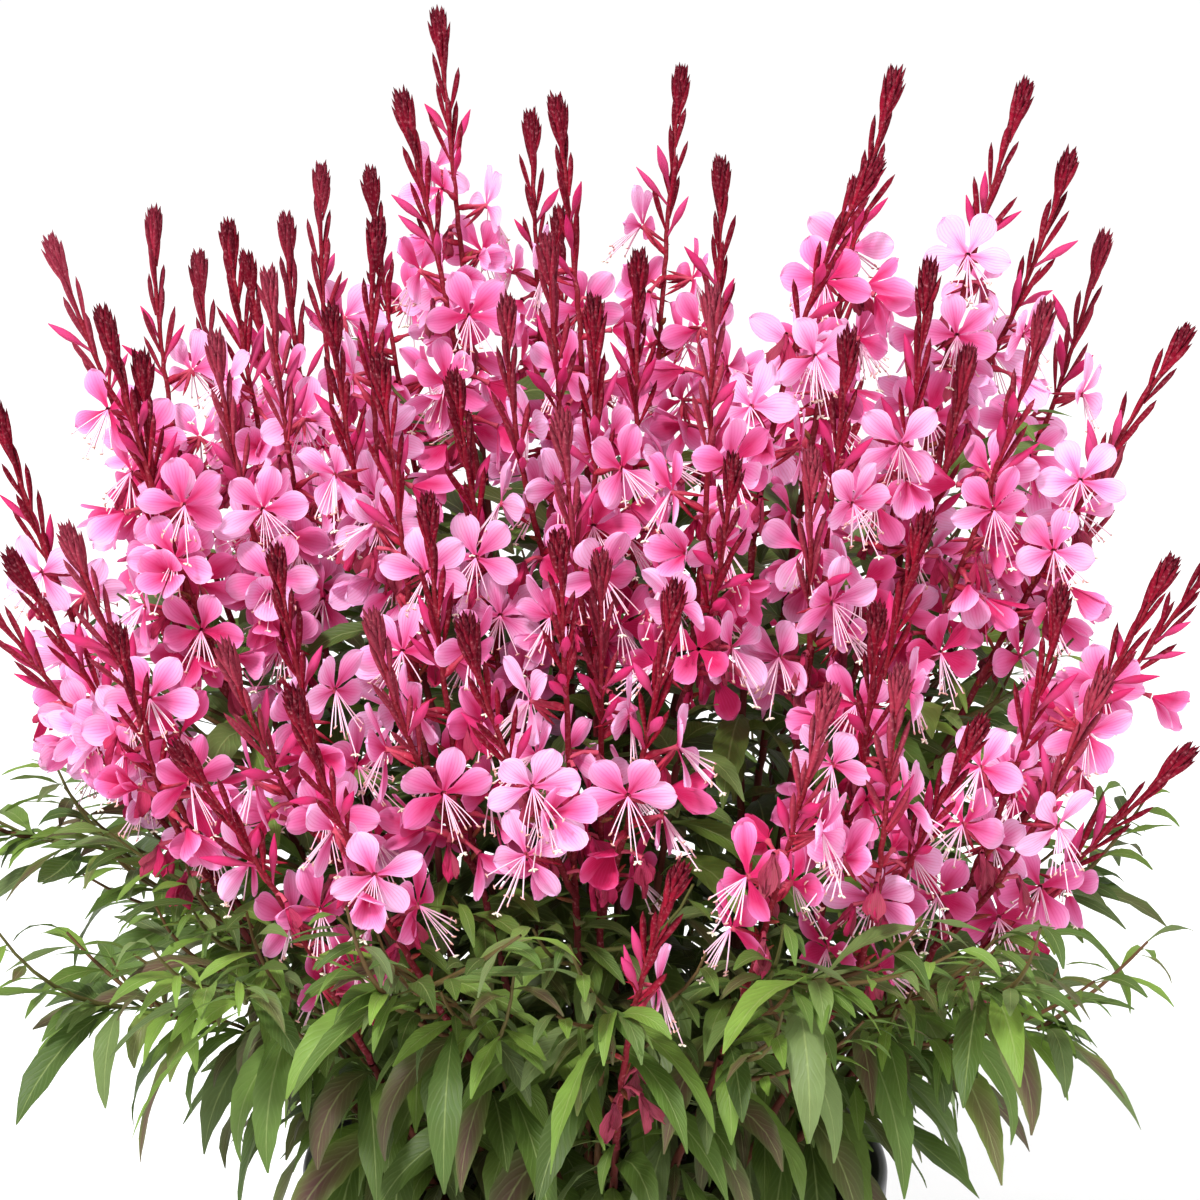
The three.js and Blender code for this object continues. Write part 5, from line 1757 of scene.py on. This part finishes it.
# Materials
class Surface:
    """A material, with short calls for the nodes that make its colour, bumps and glow."""

    def __init__(self, name, rough, shine):
        self.material = bpy.data.materials.new(name)
        self.material.use_nodes = True
        self.tree = self.material.node_tree
        self.shader = self.tree.nodes["Principled BSDF"]
        self.set("Roughness", rough)
        self.set("Specular IOR Level", shine)

    def feed(self, socket, value):
        """Gives a socket a plain value, a colour, or what comes out of another node."""
        if isinstance(value, bpy.types.NodeSocket):
            self.tree.links.new(value, socket)
        else:
            socket.default_value = (*value, 1) if isinstance(value, tuple) else value

    def set(self, name, value):
        self.feed(self.shader.inputs[name], value)

    def node(self, kind, **inputs):
        made = self.tree.nodes.new("ShaderNode" + kind)
        for name, value in inputs.items():
            self.feed(made.inputs[name], value)
        return made

    def maths(self, operation, *values):
        made = self.node("Math")
        made.operation = operation
        for socket, value in zip(made.inputs, values):
            self.feed(socket, value)
        return made.outputs[0]

    def times(self, first, second):
        return self.maths("MULTIPLY", first, second)

    def mixed(self, share, first, second):
        made = self.node("Mix")
        made.data_type = "RGBA"
        for key, value in ((0, share), (6, first), (7, second)):
            self.feed(made.inputs[key], value)
        return made.outputs[2]

    def attribute(self, name, output):
        made = self.node("Attribute")
        made.attribute_name = name
        return made.outputs[output]

    def tint(self):
        return self.attribute("tint", "Color")

    def place(self):
        """Where a point lies on its blade: across it from -1 to 1, and along it from 0 to 1."""
        parts = self.node("SeparateXYZ", Vector=self.attribute("place", "Vector"))
        return parts.outputs["X"], parts.outputs["Y"]

    def noise(self, scale, detail=3.0):
        coords = self.node("TexCoord").outputs["Object"]
        return self.node("TexNoise", Scale=scale, Detail=detail, Vector=coords).outputs["Fac"]

    def bump(self, height, strength, distance):
        made = self.node("Bump", Strength=strength, Distance=distance, Height=height)
        self.set("Normal", made.outputs["Normal"])

    def glow(self, colour, share):
        """Thin blades glow with the light that falls on their far side."""
        through = self.node("BsdfTranslucent", Color=colour)
        both = self.node("MixShader", Fac=share)
        self.feed(both.inputs[1], self.shader.outputs[0])
        self.feed(both.inputs[2], through.outputs[0])
        self.feed(self.tree.nodes["Material Output"].inputs["Surface"], both.outputs[0])


# Numbers of the surfaces: noise scales per metre, depths of bumps in metres, and shares of 1
PETAL_LINES = Rule(across=14.0, thin=7.0, fade=0.7, noise=300.0, share=0.9, bump=(0.25, 0.0002))
PETAL_GLOW = 0.38
RIB_THIN = 12.0
RIB_SHARE = 0.4
LEAF_VEINS = Rule(along=40.0, slant=9.0, drift=9.0, noise=60.0, thin=9.0, share=0.07, high=0.5)
LEAF_MOTTLE = (140.0, 0.55)
LEAF_ROUGH = (90.0, 0.3, 0.4)
LEAF_BUMP = (0.5, 0.0003)
LEAF_GLOW = 0.22
BUD_FUZZ = Rule(noise=900.0, detail=2.0, power=7.0, share=2.8, bump=(0.6, 0.0004))
STAMEN_MOTTLE = (700.0, 0.2)
STEM_MOTTLE = (260.0, 0.5)
STEM_BUMP = (0.4, 0.0004)
SOIL_GRAIN = (520.0, 5.0)
SOIL_MOTTLE = 0.7
SOIL_BUMP = (0.9, 0.001)
PLASTIC_CLOUD = (24.0, 6.0)
PLASTIC_GRAIN = (1500.0, 2.0)
PLASTIC_ROUGH = (0.25, 0.28)
PLASTIC_BUMP = (0.15, 0.0003)


def paint_petal(surface):
    across_blade, along_blade = surface.place()
    wave = surface.maths("COSINE", surface.times(across_blade, PETAL_LINES.across))
    line = surface.maths("POWER", surface.maths("ABSOLUTE", wave), PETAL_LINES.thin)
    fade = surface.maths("SUBTRACT", 1.0, surface.times(along_blade, PETAL_LINES.fade))
    uneven = surface.times(surface.noise(PETAL_LINES.noise), PETAL_LINES.share)
    share = surface.times(surface.times(line, fade), uneven)
    colour = surface.mixed(share, surface.tint(), PETAL_VEIN)
    surface.set("Base Color", colour)
    surface.bump(line, *PETAL_LINES.bump)
    surface.glow(colour, PETAL_GLOW)


def paint_leaf(surface):
    across_blade, along_blade = surface.place()
    aside = surface.maths("ABSOLUTE", across_blade)
    rib = surface.maths("SUBTRACT", 1.0, surface.times(aside, RIB_THIN))
    rib = surface.maths("MAXIMUM", rib, 0.0)
    marks = surface.times(along_blade, LEAF_VEINS.along)
    slant = surface.maths("SUBTRACT", marks, surface.times(aside, LEAF_VEINS.slant))
    drift = surface.times(surface.noise(LEAF_VEINS.noise), LEAF_VEINS.drift)
    wave = surface.maths("SINE", surface.maths("ADD", slant, drift))
    veins = surface.maths("POWER", surface.maths("ABSOLUTE", wave), LEAF_VEINS.thin)
    scale, share = LEAF_MOTTLE
    colour = surface.mixed(surface.times(surface.noise(scale), share), surface.tint(), LEAF_BLOTCH)
    colour = surface.mixed(surface.times(veins, LEAF_VEINS.share), colour, LEAF_VEIN)
    colour = surface.mixed(surface.times(rib, RIB_SHARE), colour, LEAF_RIB)
    surface.set("Base Color", colour)
    scale, change, least = LEAF_ROUGH
    surface.set("Roughness", surface.maths("ADD", surface.times(surface.noise(scale), change), least))
    height = surface.maths("ADD", rib, surface.times(veins, LEAF_VEINS.high))
    surface.bump(surface.maths("SUBTRACT", 0.0, height), *LEAF_BUMP)
    surface.glow(colour, LEAF_GLOW)


def paint_bud(surface):
    grain = surface.noise(BUD_FUZZ.noise, BUD_FUZZ.detail)
    share = surface.times(surface.maths("POWER", grain, BUD_FUZZ.power), BUD_FUZZ.share)
    surface.set("Base Color", surface.mixed(share, surface.tint(), BUD_HAIR))
    surface.bump(grain, *BUD_FUZZ.bump)


def paint_stamen(surface):
    scale, share = STAMEN_MOTTLE
    speck = surface.times(surface.noise(scale), share)
    surface.set("Base Color", surface.mixed(speck, surface.tint(), STAMEN_SPECK))


def paint_stem(surface):
    scale, share = STEM_MOTTLE
    grain = surface.noise(scale)
    surface.set("Base Color", surface.mixed(surface.times(grain, share), surface.tint(), STEM_GRAIN))
    surface.bump(grain, *STEM_BUMP)


def paint_soil(surface):
    grain = surface.noise(*SOIL_GRAIN)
    colour = surface.mixed(surface.times(grain, SOIL_MOTTLE), surface.tint(), SOIL_BROWN)
    surface.set("Base Color", colour)
    surface.bump(grain, *SOIL_BUMP)


def paint_plastic(surface):
    cloud = surface.noise(*PLASTIC_CLOUD)
    surface.set("Base Color", surface.mixed(cloud, PLASTIC_DARK, PLASTIC_PALE))
    change, least = PLASTIC_ROUGH
    surface.set("Roughness", surface.maths("ADD", surface.times(cloud, change), least))
    surface.bump(surface.noise(*PLASTIC_GRAIN), *PLASTIC_BUMP)


def paint_floor(surface):
    surface.set("Base Color", WHITE)


# How each material is painted, its roughness and its shine. Leaves and plastic set their own roughness.
SURFACES = {
    "petal": (paint_petal, 0.6, 0.12),
    "leaf": (paint_leaf, 0.5, 0.34),
    "bud": (paint_bud, 0.8, 0.02),
    "stamen": (paint_stamen, 0.5, 0.5),
    "stem": (paint_stem, 0.6, 0.15),
    "soil": (paint_soil, 0.95, 0.5),
    "plastic": (paint_plastic, 0.5, 0.5),
    "floor": (paint_floor, 0.9, 0.0),
}

materials = {}
for name, (paint, rough, shine) in SURFACES.items():
    surface = Surface(name, rough, shine)
    paint(surface)
    materials[name] = surface.material

for stem in stems:
    build_spray(stem)
for k in range(len(crowns)):
    build_clump(k)
build_soil()
build_pot()

# Camera at the photograph's distance and height, looking down on the middle of the flowers
TARGET = (1.7 * MM, 0, (POT_HEIGHT + 201) * MM)
CAMERA_ELEVATION = rad(14.5)
CAMERA_DISTANCE = 1.0
CAMERA_LENS = 90
CAMERA_SENSOR = 36

camera_data = bpy.data.cameras.new("camera")
camera_data.lens = CAMERA_LENS
camera_data.sensor_width = CAMERA_SENSOR
camera = new_object("camera", camera_data)
camera.location = (
    TARGET[0],
    TARGET[1] - CAMERA_DISTANCE * math.cos(CAMERA_ELEVATION),
    TARGET[2] + CAMERA_DISTANCE * math.sin(CAMERA_ELEVATION),
)
camera.rotation_euler = (math.pi / 2 - CAMERA_ELEVATION, 0, 0)
bpy.context.scene.camera = camera

# Floor, lights and the pale surroundings, in metres. A lamp has its place, the point that it shines at,
# its power in watts and its width.
FLOOR_HALF = 30
LAMPS = {
    "key": ((-0.9, -1.8, 2.4), (0, 0, 0.35), 104, 0.4),
    "fill": ((1.8, -1.4, 1.2), (0, 0, 0.3), 14, 1.6),
}


def build_floor():
    mesh = bpy.data.meshes.new("floor")
    corners = [(a * FLOOR_HALF, b * FLOOR_HALF, 0) for a, b in ((-1, -1), (1, -1), (1, 1), (-1, 1))]
    mesh.from_pydata(corners, [], [(0, 1, 2, 3)])
    mesh.materials.append(materials["floor"])
    new_object("floor", mesh)


def add_lamp(name, spot, target, power, width):
    data = bpy.data.lights.new(name, "AREA")
    data.energy = power
    data.size = width
    lamp = new_object(name, data)
    ahead = sub(target, spot)
    lamp.location = spot
    lean = math.atan2(math.hypot(ahead[0], ahead[1]), -ahead[2])
    lamp.rotation_euler = (lean, 0, math.atan2(ahead[1], ahead[0]) - math.pi / 2)


build_floor()
for name, rule in LAMPS.items():
    add_lamp(name, *rule)
world = bpy.data.worlds.new("world")
world.use_nodes = True
background = world.node_tree.nodes["Background"]
background.inputs["Color"].default_value = (*WHITE, 1)
background.inputs["Strength"].default_value = 1.0
bpy.context.scene.world = world
bpy.context.scene.view_settings.view_transform = "Standard"
